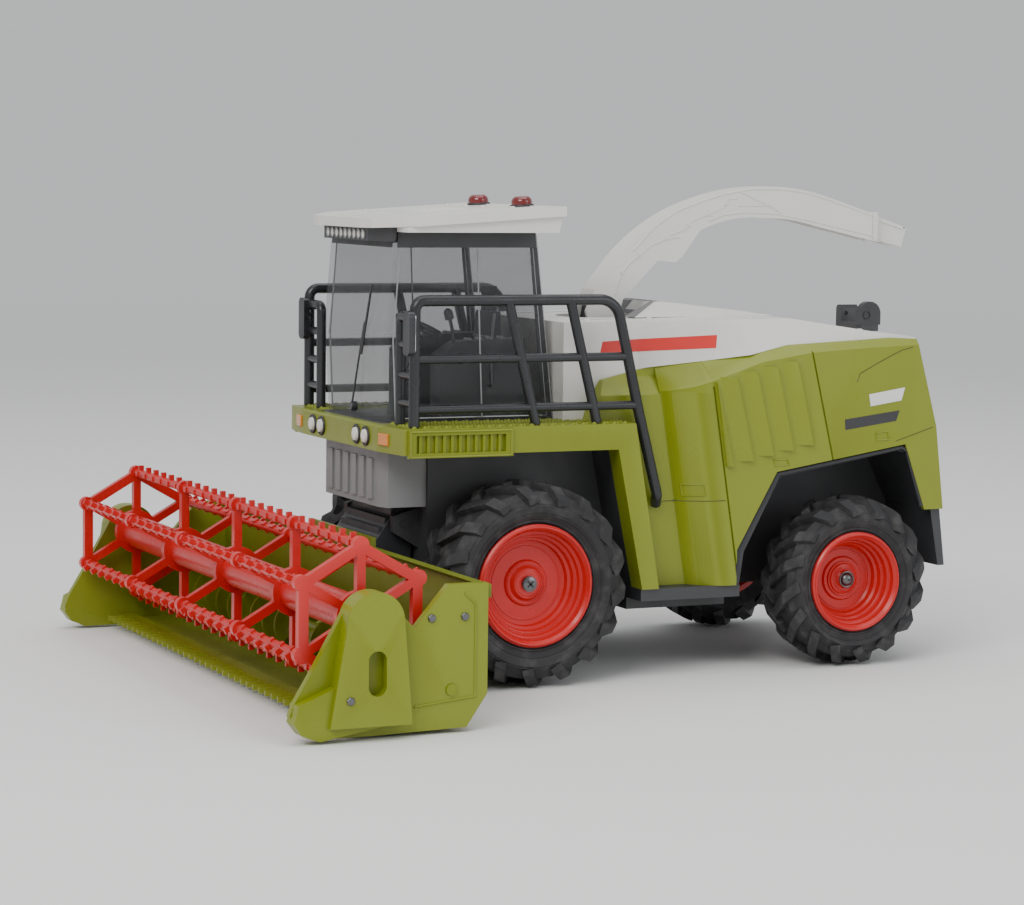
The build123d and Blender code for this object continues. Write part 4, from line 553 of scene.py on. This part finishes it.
SIDES = ((1, "left"), (-1, "right"))
UP, FORWARD = Vector((0, 0, 1)), Vector((0, -1, 0))
shells = {1: skin("side_shell_left"), -1: skin("side_shell_right")}
hood_skin = skin("engine_hood")
tail_skin = skin("tail_panel", "side_shell_left", "side_shell_right")
roof_skin = skin("cab_roof")
duct_skin = skin("spout_duct")
hatch_skin = skin("hood_hatch")

# Spout: raised lines and rivets on both cheeks, a bead along their upper edge, the collar, and the
# ribs of the mouth
SPOUT_LINES = (  # y, z pairs
    ((58.9, 140.1), (61.7, 148.6), (65.5, 152.6), (69.2, 155.2), (74.2, 159.1), (80.8, 161.6),
     (86.9, 162.2)),
    ((82.0, 163.0), (88.4, 165.0), (91.8, 168.5), (99.0, 171.1), (105.1, 173.6), (107.6, 177.2),
     (111.6, 177.4)),
    ((98.7, 168.4), (106.0, 170.9), (114.7, 171.9), (128.9, 171.4), (145.4, 168.6), (173.2, 162.8)),
    ((112.1, 180.2), (119.0, 177.4), (126.8, 174.1), (131.5, 171.6)),
    ((112.2, 174.5), (124.8, 174.6)),
)
SPOUT_RIVETS = ((69.2, 155.2), (80.8, 161.8), (90.3, 166.9), (99.0, 171.1), (106.6, 175.3),
                (61.7, 148.6))
SPOUT_EDGE = [(66.5, 157.0), (75.3, 165.9), (85.0, 172.2), (96.2, 176.2), (106.0, 179.0),
              (118.0, 181.0), (132.0, 181.0), (143.0, 179.6), (153.0, 177.0), (173.0, 170.9)]
bm = bmesh.new()
for side in (1, -1):
    for line in SPOUT_LINES:
        side_line(bm, duct_skin, side, line, 0.34, 0.02)
    out = Vector((side, 0, 0))
    for y, z in SPOUT_RIVETS:
        place = on_side(duct_skin, side, y, z)
        if place is not None:
            disc_into(bm, place - out * 0.0002, out, 0.0008, 0.00065, 10)
piece("spout_lines", bm, "spout", M["white"])
bm = bmesh.new()
for side in (1, -1):
    side_line(bm, duct_skin, side, SPOUT_EDGE, 0.42, -0.1, 2.5)
piece("spout_edges", bm, "spout", M["white"])
bm = bmesh.new()
for low, high in (((-6.4, 173.2, 160.7), (-5.75, 175.4, 171.5)),
                  ((5.75, 173.2, 160.7), (6.4, 175.4, 171.5)),
                  ((-6.4, 173.2, 171.15), (6.4, 175.4, 172.1))):
    block_into(bm, low, high)
piece("spout_collar", bm, "spout", M["white"], 0.22)
bm = bmesh.new()
for x in (-4.05, 4.05):
    tube_into(bm, [P(x, 178.0, 161.0), P(x, 187.2, 158.7)], 0.00035, 6)
    tube_into(bm, [P(x, 178.0, 168.7), P(x, 188.9, 165.4)], 0.00035, 6)
tube_into(bm, [P(-3.9, 189.0, 166.0), P(3.9, 189.0, 166.0)], 0.0004, 6)
piece("flap_ribs", bm, "spout_mouth", M["white"])

# Turret: a ring and twelve studs round the foot of the spout
TURRET_Y, TURRET_Z = 54, 126.4
bm = bmesh.new()
ring_into(bm, P(0, TURRET_Y, TURRET_Z), UP, 12.6, 0.45)
for k in range(12):
    t = math.radians(k * 30 + 15)
    place = P(10.4 * math.sin(t), TURRET_Y + 10.4 * math.cos(t), TURRET_Z - 0.1)
    disc_into(bm, place, UP, 0.0008, 0.0005, 8)
piece("turret_ring", bm, "spout_turret", M["black"])

# Hood: grey sheets of painted shade on the hatch's faces, ribs on the hatch, seams and bosses on its
# top, a band along each flank
# The hatch in x, y pairs, the band in y, z pairs
HATCH_FOOT = ((26, 57.0), (18.4, 57.0), (11, 70.5), (0, 70.5))
HATCH_CROWN = ((20.5, 68.0), (18, 68.0), (9.5, 75.0), (0, 75.0))
HOOD_BAND = ((36, 119.6), (80, 121.8), (81, 126.6), (37, 124.2))
# Painted shade: grey sheets laid on the hatch's three front faces
bm = bmesh.new()
for side in (1, -1):
    for k in range(3):
        quad = (HATCH_FOOT[k], HATCH_FOOT[k + 1], HATCH_CROWN[k + 1], HATCH_CROWN[k])
        spots = [on_top(hatch_skin, side * x, y, 0.12) for x, y in quad]
        if all(p is not None for p in spots):
            prism_into(bm, spots, Vector((0, 0.0002, 0.00025)))
piece("hatch_shade", bm, "chassis", M["shade"])
bm = bmesh.new()
for line in (((-13.5, 80), (-11.5, 114)), ((13.5, 80), (11.5, 114)), ((-11, 112), (11, 112)),
             ((-5.5, 79), (-5.5, 110)), ((5.5, 79), (5.5, 110))):
    top_line(bm, hatch_skin, line, 0.4)
piece("hatch_ribs", bm, "chassis", M["white"])
bm = bmesh.new()
for line in (((-34, 124), (34, 124)), ((-27, 30), (-27, 66)), ((27, 30), (27, 66)),
             ((-30, 126), (-26, 165)), ((30, 126), (26, 165))):
    top_line(bm, hood_skin, line, 0.26, -0.12)
piece("hood_seams", bm, "chassis", M["seam"])
bm = bmesh.new()
for side in (1, -1):
    for x, y in ((33, 34), (33, 60), (38, 100), (36, 150)):
        place = on_top(hood_skin, side * x, y)
        if place is not None:
            disc_into(bm, place - UP * 0.0002, UP, 0.0013, 0.0007, 14, 0.0002)
piece("hood_bosses", bm, "chassis", M["white"])
bm = bmesh.new()
for side in (1, -1):
    patch_into(bm, hood_skin, side, HOOD_BAND, 0.14, 0.3, 5, 26)
piece("hood_bands", bm, "chassis", M["stripe_red"])

# Side shells: seams, painted shadow lines behind the louvres, latches and two plain bars
# Latches: y, z, width, height and lean; bars: the corners in y, z pairs
LATCHES = ((64.9, 67.0, 7.2, 4.2, 0.8), (101.0, 77.6, 5.9, 2.2, 0.7), (145.3, 86.1, 5.3, 3.0, 0.6))
WHITE_BAR = ((142.8, 99.2), (156.4, 101.2), (157.9, 106.2), (142.0, 103.8))
DARK_BAR = ((131.9, 90.4), (154.2, 93.4), (155.7, 97.4), (131.6, 94.4))
LOUVRE_COUNT, LOUVRE_START, LOUVRE_PITCH, LOUVRE_WIDTH = 5, 76.7, 8.6, 6.8
LOUVRE_FOOT, LOUVRE_CLIMB, LOUVRE_RUN, LOUVRE_LEAN = 78.4, 1.8, 31.0, 0.242
bm_seam_and_shadow, bm_latch, bm_bar_w, bm_bar_k = (bmesh.new() for _ in range(4))
for side in (1, -1):
    tree = shells[side]
    for line in (((57.5, 64.6), (63.0, 64.8), (69.0, 65.0), (80.6, 65.2)),
                 ((137.8, 111.8), (147.0, 116.4), (156.1, 120.5), (161.0, 121.6)),
                 ((137.8, 111.8), (136.6, 108.6)),
                 ((154.4, 85.6), (163.0, 88.2), (171.0, 90.6))):
        side_line(bm_seam_and_shadow, tree, side, line, 0.24, -0.10)
    for y, z, wide, high, lean in LATCHES:
        corners = [(y + lean, z), (y + lean + wide, z + 0.2), (y + wide, z + high + 0.2), (y, z + high)]
        side_line(bm_latch, tree, side, loop_of(corners), 0.34, 0.02, 0.8)
    patch_into(bm_bar_w, tree, side, WHITE_BAR, 0.12, 0.3, 4, 10)
    patch_into(bm_bar_k, tree, side, DARK_BAR, 0.12, 0.3, 4, 12)
    # Painted shadow: a dark line along the flank just behind each louvre
    for k in range(LOUVRE_COUNT):
        y, z = LOUVRE_START + k * LOUVRE_PITCH + LOUVRE_WIDTH + 0.25, LOUVRE_FOOT + k * LOUVRE_CLIMB
        line = ((y, z), (y - LOUVRE_RUN * LOUVRE_LEAN, z + LOUVRE_RUN))
        side_line(bm_seam_and_shadow, tree, side, line, 0.2, -0.08)
piece("shell_seams_and_shadows", bm_seam_and_shadow, "chassis", M["lime_seam_and_shadow"])
piece("shell_latches", bm_latch, "chassis", M["lime"])
piece("shell_bars_white", bm_bar_w, "chassis", M["stripe_white"])
piece("shell_bars_dark", bm_bar_k, "chassis", M["stripe_black"])

# Side shells: the column ends in a slanted cap that runs from the crease up to the hood's seam. In
# the solid a level bar crosses the hollow there and the wall behind it is open, so a copy of the
# shell with that corner cut away takes its place. Points are x, y or x, y, z on the left side.
COLUMN_FOOT = ((47.6, 57.3), (48.9, 58.0), (51.6, 60.0), (53.5, 62.0), (54.9, 64.0), (56.0, 66.0),
               (56.8, 68.0), (57.35, 70.0), (57.5, 72.0), (57.5, 74.3))
COLUMN_CREASE = ((47.8, 57.2, 105.9), (48.9, 58.0, 106.1), (51.6, 59.9, 106.5), (53.5, 61.9, 106.9),
                 (54.85, 63.9, 107.3), (55.95, 65.9, 107.7), (56.75, 67.9, 108.2), (57.25, 69.9, 108.7),
                 (57.45, 71.9, 109.3), (57.55, 74.3, 110.0))
COLUMN_CROWN = ((41.5, 58.0, 114.7), (41.9, 58.8, 114.9), (42.7, 61.0, 115.3), (43.5, 63.0, 115.7),
                (44.2, 65.0, 116.0), (45.0, 66.8, 116.2), (45.7, 68.6, 116.4), (46.5, 70.4, 116.6),
                (47.2, 72.2, 116.8), (48.1, 74.3, 117.0))
CUT_LOW, CUT_HIGH = (36, 55.3, 105.75), (62, 74.2, 119.5)
for side, label in SIDES:
    bm = bmesh.new()
    block_into(bm, *((side * x, y, z) for x, y, z in (CUT_LOW, CUT_HIGH)))
    bmesh.ops.recalc_face_normals(bm, faces=bm.faces)
    cutter = object_of("cutter", bm)
    shell = bpy.data.objects.new("shell_skin_" + label, nodes["side_shell_" + label].data.copy())
    bpy.context.scene.collection.objects.link(shell)
    cut = shell.modifiers.new("cut", "BOOLEAN")
    cut.operation = "DIFFERENCE"
    cut.solver = "EXACT"
    cut.object = cutter
    bpy.context.view_layer.update()
    evaluated = shell.evaluated_get(bpy.context.evaluated_depsgraph_get())
    cleaned = bpy.data.meshes.new_from_object(evaluated)
    shell.modifiers.clear()
    shell.data = cleaned
    bpy.data.objects.remove(cutter)
    dress(shell, M["lime"], BEVEL["side_shell_" + label], 15)
    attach(shell, "chassis")
    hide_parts("side_shell_" + label)

for side, label in SIDES:
    bm = bmesh.new()
    grid = [[(x, y, 105.4) for x, y in COLUMN_FOOT]]
    for k in range(6):
        grid.append([tuple(p + (q - p) * k / 5 for p, q in zip(a, b))
                     for a, b in zip(COLUMN_CREASE, COLUMN_CROWN)])
    outer = [[bm.verts.new(P(side * x, y, z)) for x, y, z in row] for row in grid]
    inner = [[bm.verts.new(P(side * (x - 1.6), y, z - 0.3)) for x, y, z in row] for row in grid]
    for sheet in (outer, inner):
        for one, two in zip(sheet, sheet[1:]):
            for k in range(len(one) - 1):
                bm.faces.new((one[k], one[k + 1], two[k + 1], two[k]))
    top, last = len(grid) - 1, len(COLUMN_FOOT) - 1
    border = [(0, k) for k in range(last + 1)] + [(r, last) for r in range(1, top + 1)]
    border += [(top, k) for k in range(last - 1, -1, -1)] + [(r, 0) for r in range(top - 1, 0, -1)]
    for (r, k), (m, n) in zip(border, border[1:] + border[:1]):
        bm.faces.new((outer[r][k], outer[m][n], inner[m][n], inner[r][k]))
    piece("column_cap_" + label, bm, "chassis", M["lime"])

# The band above the recess, up to the hood's edge and behind the column's cap. Its edge is given in
# y, x pairs, the two fillings in x, z pairs.
BAND_LOW_Z, BAND_HIGH_Z = 111.2, 114.7
BAND_EDGE = ((47.5, 39.4), (52.0, 39.4), (54.0, 40.1), (56.0, 40.8), (58.0, 41.5), (60.5, 42.2))
BAND_SLANT = ((47.55, 105.1), (40.8, 111.85), (39.0, 111.0), (45.5, 104.6))
BAND_WALL = ((47.95, 100.0), (47.95, 105.0), (46.4, 105.0), (46.4, 100.0))
for side, label in SIDES:
    bm = bmesh.new()
    rows = []
    for y, edge in BAND_EDGE:
        corners = ((41.4, BAND_LOW_Z), (edge, BAND_HIGH_Z),
                   (edge - 2.0, BAND_HIGH_Z), (39.0, BAND_LOW_Z))
        rows.append([bm.verts.new(P(side * x, y, z)) for x, z in corners])
    for one, two in zip(rows, rows[1:]):
        for k in range(4):
            m = (k + 1) % 4
            bm.faces.new((one[k], one[m], two[m], two[k]))
    bm.faces.new(rows[0])
    bm.faces.new(list(reversed(rows[-1])))
    prism_into(bm, [P(side * x, 54.6, z) for x, z in BAND_SLANT], Vector((0, 0.0059, 0)))
    prism_into(bm, [P(side * x, 55.0, z) for x, z in BAND_WALL], Vector((0, 0.0028, 0)))
    piece("shoulder_band_" + label, bm, "chassis", M["lime"])

# Black bead round the rear wheel arches
ARCH = [(86.6, 36.0), (86.9, 45.8), (103.3, 74.2), (157.6, 83.0), (160.2, 81.4), (167.2, 60.0)]
bm = bmesh.new()
for side in (1, -1):
    tube_into(bm, [P(side * 56.4, y, z) for y, z in walk(ARCH, 3.0)], 0.0009)
piece("arch_beads", bm, "chassis", M["rail"])

# Tail: lamps, a bare plate and air slots
TAIL_LAMP_X, TAIL_SLOT_Z, TAIL_SLOT_PITCH = 43, 88.0, 4.4
bm_red, bm_frame, bm_slot, bm_plate = (bmesh.new() for _ in range(4))


def on_rear(x, z, lift=0.0):
    """The point and direction of the tail's skin at x, z as seen from behind."""
    place, normal = hit(tail_skin, P(x, 260, z), FORWARD)
    return None if place is None else (place + normal * lift / 1000, normal)


for side in (1, -1):
    for z in (101.0, 108.0, 115.0):
        found = on_rear(side * TAIL_LAMP_X, z)
        if found is not None:
            place, normal = found
            disc_into(bm_red, place - normal * 0.0002, normal, 0.0026, 0.0011, 24, 0.0004)
            ring_into(bm_frame, place + normal * 0.0003, normal, 2.9, 0.42, 28)
for k in range(7):
    z = TAIL_SLOT_Z + k * TAIL_SLOT_PITCH
    route = [on_rear(x, z, -0.1) for x in range(-22, 23, 4)]
    route = [found[0] for found in route if found is not None]
    if len(route) > 1:
        tube_into(bm_slot, route, 0.0008, 6)
corners = [on_rear(x, z, 0.1) for x, z in ((-13, 74.5), (13, 74.5), (13, 81.5), (-13, 81.5))]
if all(c is not None for c in corners):
    prism_into(bm_plate, [c[0] for c in corners], corners[0][1] * 0.0008)
piece("tail_lamps", bm_red, "chassis", M["tail_lens"])
piece("tail_lamp_rings", bm_frame, "chassis", M["black"])
piece("tail_slots", bm_slot, "chassis", M["lime_seam_and_shadow"])
piece("tail_plate", bm_plate, "chassis", M["stripe_white"], 0.2)

# Cradle: rings round its pin, and the rounded crown of its left prong
bm = bmesh.new()
for x in (-9.9, 10.0):
    ring_into(bm, P(x, 168.9, 131.4), Vector((1, 0, 0)), 1.5, 0.3, 20)
CROWN_Y, CROWN_Z, CROWN_RADIUS, CROWN_FOOT = 170.5, 131.9, 4.9, 127.5
crown = [(CROWN_Y + CROWN_RADIUS * math.cos(t), CROWN_Z + CROWN_RADIUS * math.sin(t))
         for t in (math.pi * k / 14 for k in range(15))]
crown += [(CROWN_Y - CROWN_RADIUS, CROWN_FOOT), (CROWN_Y + CROWN_RADIUS, CROWN_FOOT)]
prism_into(bm, [P(6.9, y, z) for y, z in crown], Vector((0.003, 0, 0)))
piece("cradle_rings", bm, "chassis", M["rail"])

# Platforms: staggered anti-slip studs on top, frames round the side grilles
DECK_Z, STUD_ROWS, STUD_COLUMNS = 95.0, 41, 7
GRILLE_X, GRILLE_Y, GRILLE_Z = 58.0, (-47.2, -7.8), (84.9, 94.0)
bm = bmesh.new()
for side in (1, -1):
    for row in range(STUD_ROWS):
        odd = row % 2
        for k in range(STUD_COLUMNS - odd):
            stud_into(bm, P(side * (34.4 + odd * 1.7 + k * 3.4), -44.5 + row * 2.1, DECK_Z), 2.5, 0.75)
piece("deck_studs", bm, "chassis", M["lime"], 0, 20)
bm = bmesh.new()
for side in (1, -1):
    for z in GRILLE_Z:
        tube_into(bm, [P(side * GRILLE_X, y, z) for y in GRILLE_Y], 0.00045, 6)
    for y in GRILLE_Y:
        tube_into(bm, [P(side * GRILLE_X, y, z) for z in GRILLE_Z], 0.00045, 6)
piece("grille_frames", bm, "chassis", M["lime"])

# Bumper: rings and lenses on the headlamps, turn lamps on its skin
LAMP_Z = 90.25
bm_ring, bm_lens = bmesh.new(), bmesh.new()
for x in (-27, -18, 18, 27):
    ring_into(bm_ring, P(x, -52.3, LAMP_Z), -FORWARD, 3.2, 0.5, 28)
    disc_into(bm_lens, P(x, -52.9, LAMP_Z), FORWARD, 0.0023, 0.0005, 20, 0.0004)
piece("headlamp_rings", bm_ring, "chassis", M["black"])
piece("headlamp_lenses", bm_lens, "chassis", M["lens"])
bm = bmesh.new()
bumper_skin = skin("front_bumper")
for x in (-43, 43):
    corners = [hit(bumper_skin, P(x + dx, -120, LAMP_Z + dz), -FORWARD)
               for dx, dz in ((-3.4, -2.2), (3.4, -2.2), (3.4, 2.2), (-3.4, 2.2))]
    if all(c[0] is not None for c in corners):
        prism_into(bm, [c[0] - c[1] * 0.0002 for c in corners], corners[0][1] * 0.0009)
piece("turn_lamps", bm, "chassis", M["amber"], 0.3)


# Cab: dark band at the top of the glazing, grey beads on its edges as painted highlight, pillars,
# handles and the wiper
def glass_front(z):
    """The windscreen's y at height z; it bends at 125."""
    return -46.5 + (z - 125) / 39.5 * 3.5 if z > 125 else -45 - (z - 95) / 30 * 1.5


def glass_rear(z):
    """The rear pane's y at height z."""
    return 20.8 - (z - 95.1) / 69.4 * 8


bm = bmesh.new()
low, high = 158.8, 164.4  # the band's heights
for side in (1, -1):
    corners = ((glass_front(low) + 1.2, low), (glass_rear(low), low),
               (glass_rear(high), high), (glass_front(high) + 1.2, high))
    prism_into(bm, [P(side * 31.55, y, z) for y, z in corners], Vector((side * 0.0003, 0, 0)))
for pane, off in ((glass_front, -0.35), (glass_rear, 0.05)):
    corners = ((-30, low), (30, low), (30, high), (-30, high))
    prism_into(bm, [P(x, pane(z) + off, z) for x, z in corners], Vector((0, 0.0003, 0)))
piece("glass_band", bm, "chassis", M["black"])
# Painted highlight: pale grey beads along the clear glazing's edges and door lines
bm = bmesh.new()
for side in (1, -1):
    x = side * 31.7
    for a, b in (((glass_rear(163), 163.5), (glass_rear(96), 96.0)), ((11.7, 158.6), (18.2, 96.5)),
                 ((-10.6, 158.6), (-8.0, 96.5)),
                 ((glass_front(158) + 2.4, 158.6), (-43.6, 125.0)), ((-43.6, 125.0), (-42.4, 96.5))):
        tube_into(bm, [P(x, *a), P(x, *b)], 0.00032, 6)
    tube_into(bm, [P(x, glass_front(96.6) + 3.0, 96.6), P(x, glass_rear(96.6) - 2.6, 96.6)], 0.0003, 6)
piece("glass_edges", bm, "chassis", M["edge"])
bm = bmesh.new()
for side in (1, -1):
    pillar = ((16.6, 96.0), (20.4, 96.0), (13.6, 158.8), (10.6, 158.8))
    prism_into(bm, [P(side * 31.6, y, z) for y, z in pillar], Vector((side * 0.00035, 0, 0)))
    handle = ((31.6, -5.5, 119), (33.2, -5.3, 118.6), (33.2, -4.8, 108.5), (31.6, -4.8, 108))
    tube_into(bm, [P(side * x, y, z) for x, y, z in handle], 0.0007)
tube_into(bm, [P(0, -47.0, 99.5), P(9, -47.2, 122), P(12, -46.9, 131)], 0.0004, 6)
tube_into(bm, [P(9.5, -47.2, 119), P(17.5, -46.4, 145)], 0.0005, 6)
disc_into(bm, P(0, -45.4, 99.0), FORWARD, 0.0018, 0.0022, 14)
piece("cab_pillars", bm, "chassis", M["rail"])

# Roof: screws, ribs and beads on top, lamps in the band, rings round the beacons
ROOF_LAMP_Z = 163.4
bm = bmesh.new()
for x, y in ((-8, 2), (8, 2), (-30, -30), (30, -30), (-30, 4), (30, 4)):
    place, normal = hit(roof_skin, P(x, y, 300), -UP)
    if place is not None:
        disc_into(bm, place - normal * 0.0002, normal, 0.0012, 0.0008, 14, 0.0002)
for k in range(6):
    top_line(bm, roof_skin, ((-11 + k * 4.4, -22), (-11 + k * 4.4, -6)), 0.5, -0.1)
for line in (((-37, -36), (-37, 14)), ((37, -36), (37, 14)), ((-37, 14), (37, 14)),
             ((-24, -47), (24, -47))):
    top_line(bm, roof_skin, line, 0.32, -0.02)
piece("roof_trim", bm, "chassis", M["white"])
bm_ring, bm_lens = bmesh.new(), bmesh.new()
for k in range(9):
    x = -17.6 + k * 4.4
    ring_into(bm_ring, P(x, -50.1, ROOF_LAMP_Z), -FORWARD, 1.7, 0.3, 20)
    disc_into(bm_lens, P(x, -49.9, ROOF_LAMP_Z), FORWARD, 0.0014, 0.0003, 16, 0.00025)
piece("roof_lamp_rings", bm_ring, "chassis", M["grey"])
piece("roof_lamps", bm_lens, "chassis", M["lens"])
bm = bmesh.new()
for x in (-20, 20):
    place = on_top(roof_skin, x, 12.5)
    if place is not None:
        ring_into(bm, place + Vector((0, 0, 0.0004)), Vector((0, -0.069, 1)), 4.1, 0.4, 28)
piece("beacon_rings", bm, "chassis", M["black"])

# Inside the cab: seams and armrests of the seat, console buttons, lever
bm_seat, bm_btn, bm_lev = bmesh.new(), bmesh.new(), bmesh.new()
for z in (112.5, 118.5, 124.5):
    back_y = 4.0 + (z - 110) * 0.104 - 0.2
    tube_into(bm_seat, [P(-6.8, back_y, z), P(6.8, back_y, z)], 0.0005, 6)
for x in (-7.6, 7.6):
    tube_into(bm_seat, [P(x, 5.0, 110), P(x, 7.4, 133.5)], 0.0007, 6)
for side in (1, -1):
    armrest = [P(side * 10.4, y, z) for y, z in ((7, 104), (6.5, 116), (-4, 117.2))]
    tube_into(bm_seat, armrest, 0.0012)
piece("seat_trim", bm_seat, "chassis", M["grey"])
for side in (1, -1):
    for k in range(4):
        for j in range(2):
            place = P(side * (18.4 + j * 3.6), -9 + k * 4.4, 124.2 + k * 0.17)
            disc_into(bm_btn, place, UP, 0.0009, 0.0009, 10)
piece("console_buttons", bm_btn, "chassis", M["grey"])
tube_into(bm_lev, [P(20.2, y, z) for y, z in ((-14.5, 123), (-15.5, 129), (-16.4, 132.5))], 0.0007)
disc_into(bm_lev, P(20.2, -16.4, 132.0), Vector((0, -0.25, 1)), 0.0017, 0.0034, 14, 0.0008)
piece("console_lever", bm_lev, "chassis", M["black"])

# Mirror faces on the rails
RAIL_X, MIRROR_Z = 53, 129
MIRROR = ((-2.2, -6.6), (2.2, -6.6), (2.6, -5.6), (2.6, 5.6),
          (2.2, 6.6), (-2.2, 6.6), (-2.6, 5.6), (-2.6, -5.6))
bm = bmesh.new()
for side in (1, -1):
    outline = [P(side * RAIL_X + x, -44.95, MIRROR_Z + z) for x, z in MIRROR]
    prism_into(bm, outline, Vector((0, 0.0003, 0)))
piece("mirror_faces", bm, "chassis", M["mirror"])

# Wheels: rings on rims and tyres, and the screws in their hubs. A wheel is name, side, x, y, z and
# rim radius; a ring is its share of that radius and its thickness.
WHEELS = (("front_left", 1, 52.0, 0.0, 37.5, 22.5), ("front_right", -1, 52.0, 0.0, 37.5, 22.5),
          ("rear_left", 1, 51.5, 136.0, 32.5, 19.0), ("rear_right", -1, 51.5, 136.0, 32.5, 19.0))
RIM_RINGS = ((0.955, 0.34), (0.865, 0.3), (0.79, 0.28), (0.60, 0.3), (0.33, 0.4), (0.235, 0.3))
for name, side, wx, wy, wz, rim_r in WHEELS:
    rim_tree, tyre_tree = skin(name + "_rim"), skin(name + "_tyre")
    out = Vector((side, 0, 0))
    bm = bmesh.new()
    for share, thick in RIM_RINGS:
        place, _ = hit(rim_tree, P(side * 200, wy, wz + rim_r * share), -out)
        if place is not None:
            ring_into(bm, P(place.x * 1000, wy, wz), out, rim_r * share, thick, 56)
    piece(name + "_rim_rings", bm, name + "_wheel", M["red"])
    bm = bmesh.new()
    for radius, thick in ((rim_r + 1.2, 0.55), (rim_r + 3.6, 0.32), (rim_r + 7.6, 0.28)):
        starts = [P(side * 200, wy + radius * math.cos(t), wz + radius * math.sin(t))
                  for t in (0.11, 0.9, 1.9, 2.8, 4.0, 5.1)]
        spots = [hit(tyre_tree, start, -out)[0] for start in starts]
        spots = [spot.x * 1000 for spot in spots if spot is not None]
        if spots:
            ring_into(bm, P(sorted(spots, key=abs)[0], wy, wz), out, radius, thick, 64)
    piece(name + "_tyre_rings", bm, name + "_wheel", M["rubber"])
    bm, cross = bmesh.new(), bmesh.new()
    front = name.startswith("front")
    place, _ = hit(skin("front_axle") if front else rim_tree, P(side * 200, wy, wz), -out)
    if place is not None and front:
        screw_into(bm, cross, P(place.x * 1000 - side * 0.1, wy, wz), out, 2.55, 0.55)
    else:
        base = place.x * 1000 if place is not None else side * wx
        disc_into(bm, P(base - side * 0.3, wy, wz), out, 0.0023, 0.0016, 20, 0.0007)
        ring_into(bm, P(base + side * 0.1, wy, wz), out, 2.9, 0.4, 28)
        disc_into(cross, P(base + side * 1.75, wy, wz), out, 0.0006, 0.0004, 12)
    carrier = "chassis" if front else name + "_wheel"
    piece(name + "_hub_screw", bm, carrier, M["screw"])
    piece(name + "_hub_cross", cross, carrier, M["stripe_black"])

# Front wall: bolts
bm = bmesh.new()
for x in (-28.5, 28.5):
    for z in (68.0, 88.0):
        disc_into(bm, P(x, -44.6, z), FORWARD, 0.0012, 0.0008, 12, 0.0002)
piece("front_wall_bolts", bm, "chassis", M["screw"])

# Header: beads and bolts on the side panels, bolts on its back
bm_bead, bm_bolt = bmesh.new(), bmesh.new()
for side, label in SIDES:
    tree = skin("header_side_" + label)
    out = Vector((side, 0, 0))
    for pts in (((-58, 47.0), (-54, 43.0), (-54, 12.0)), ((-54, 12.0), (-76, 9.6))):
        side_line(bm_bead, tree, side, pts, 0.5, 0.0, 2.0)
    for y, z in ((-58, 39), (-62.6, 14.6), (-101, 14), (-70, 39)):
        place = on_side(tree, side, y, z)
        if place is not None:
            disc_into(bm_bolt, place - out * 0.0002, out, 0.0015, 0.0009, 6)
piece("header_beads", bm_bead, "header", M["lime"])
piece("header_bolts", bm_bolt, "header", M["screw"])
bm = bmesh.new()
frame_tree = skin("header_frame")
for x in (*range(-112, -31, 16), *range(32, 113, 16)):
    for z in (40, 18):
        place, normal = hit(frame_tree, P(x, 60, z), FORWARD)
        if place is not None:
            disc_into(bm, place - normal * 0.0001, normal, 0.0012, 0.0008, 6)
piece("header_back_bolts", bm, "header", M["screw"])

# Underside: screws and grip lines on the battery door
bm, cross, lines = bmesh.new(), bmesh.new(), bmesh.new()
door_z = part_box("battery_door")[0][2] * 1000
for x in (-24, 24):
    screw_into(bm, cross, P(x, 68, door_z), -UP, 2.0, 0.4)
for k in range(5):
    tube_into(lines, [P(x, 60 + k * 4, door_z + 0.55) for x in (-9, 9)], 0.0004, 6)
piece("door_screws", bm, "chassis", M["screw"])
piece("door_screw_cuts", cross, "chassis", M["stripe_black"])
piece("door_grips", lines, "chassis", M["black"])
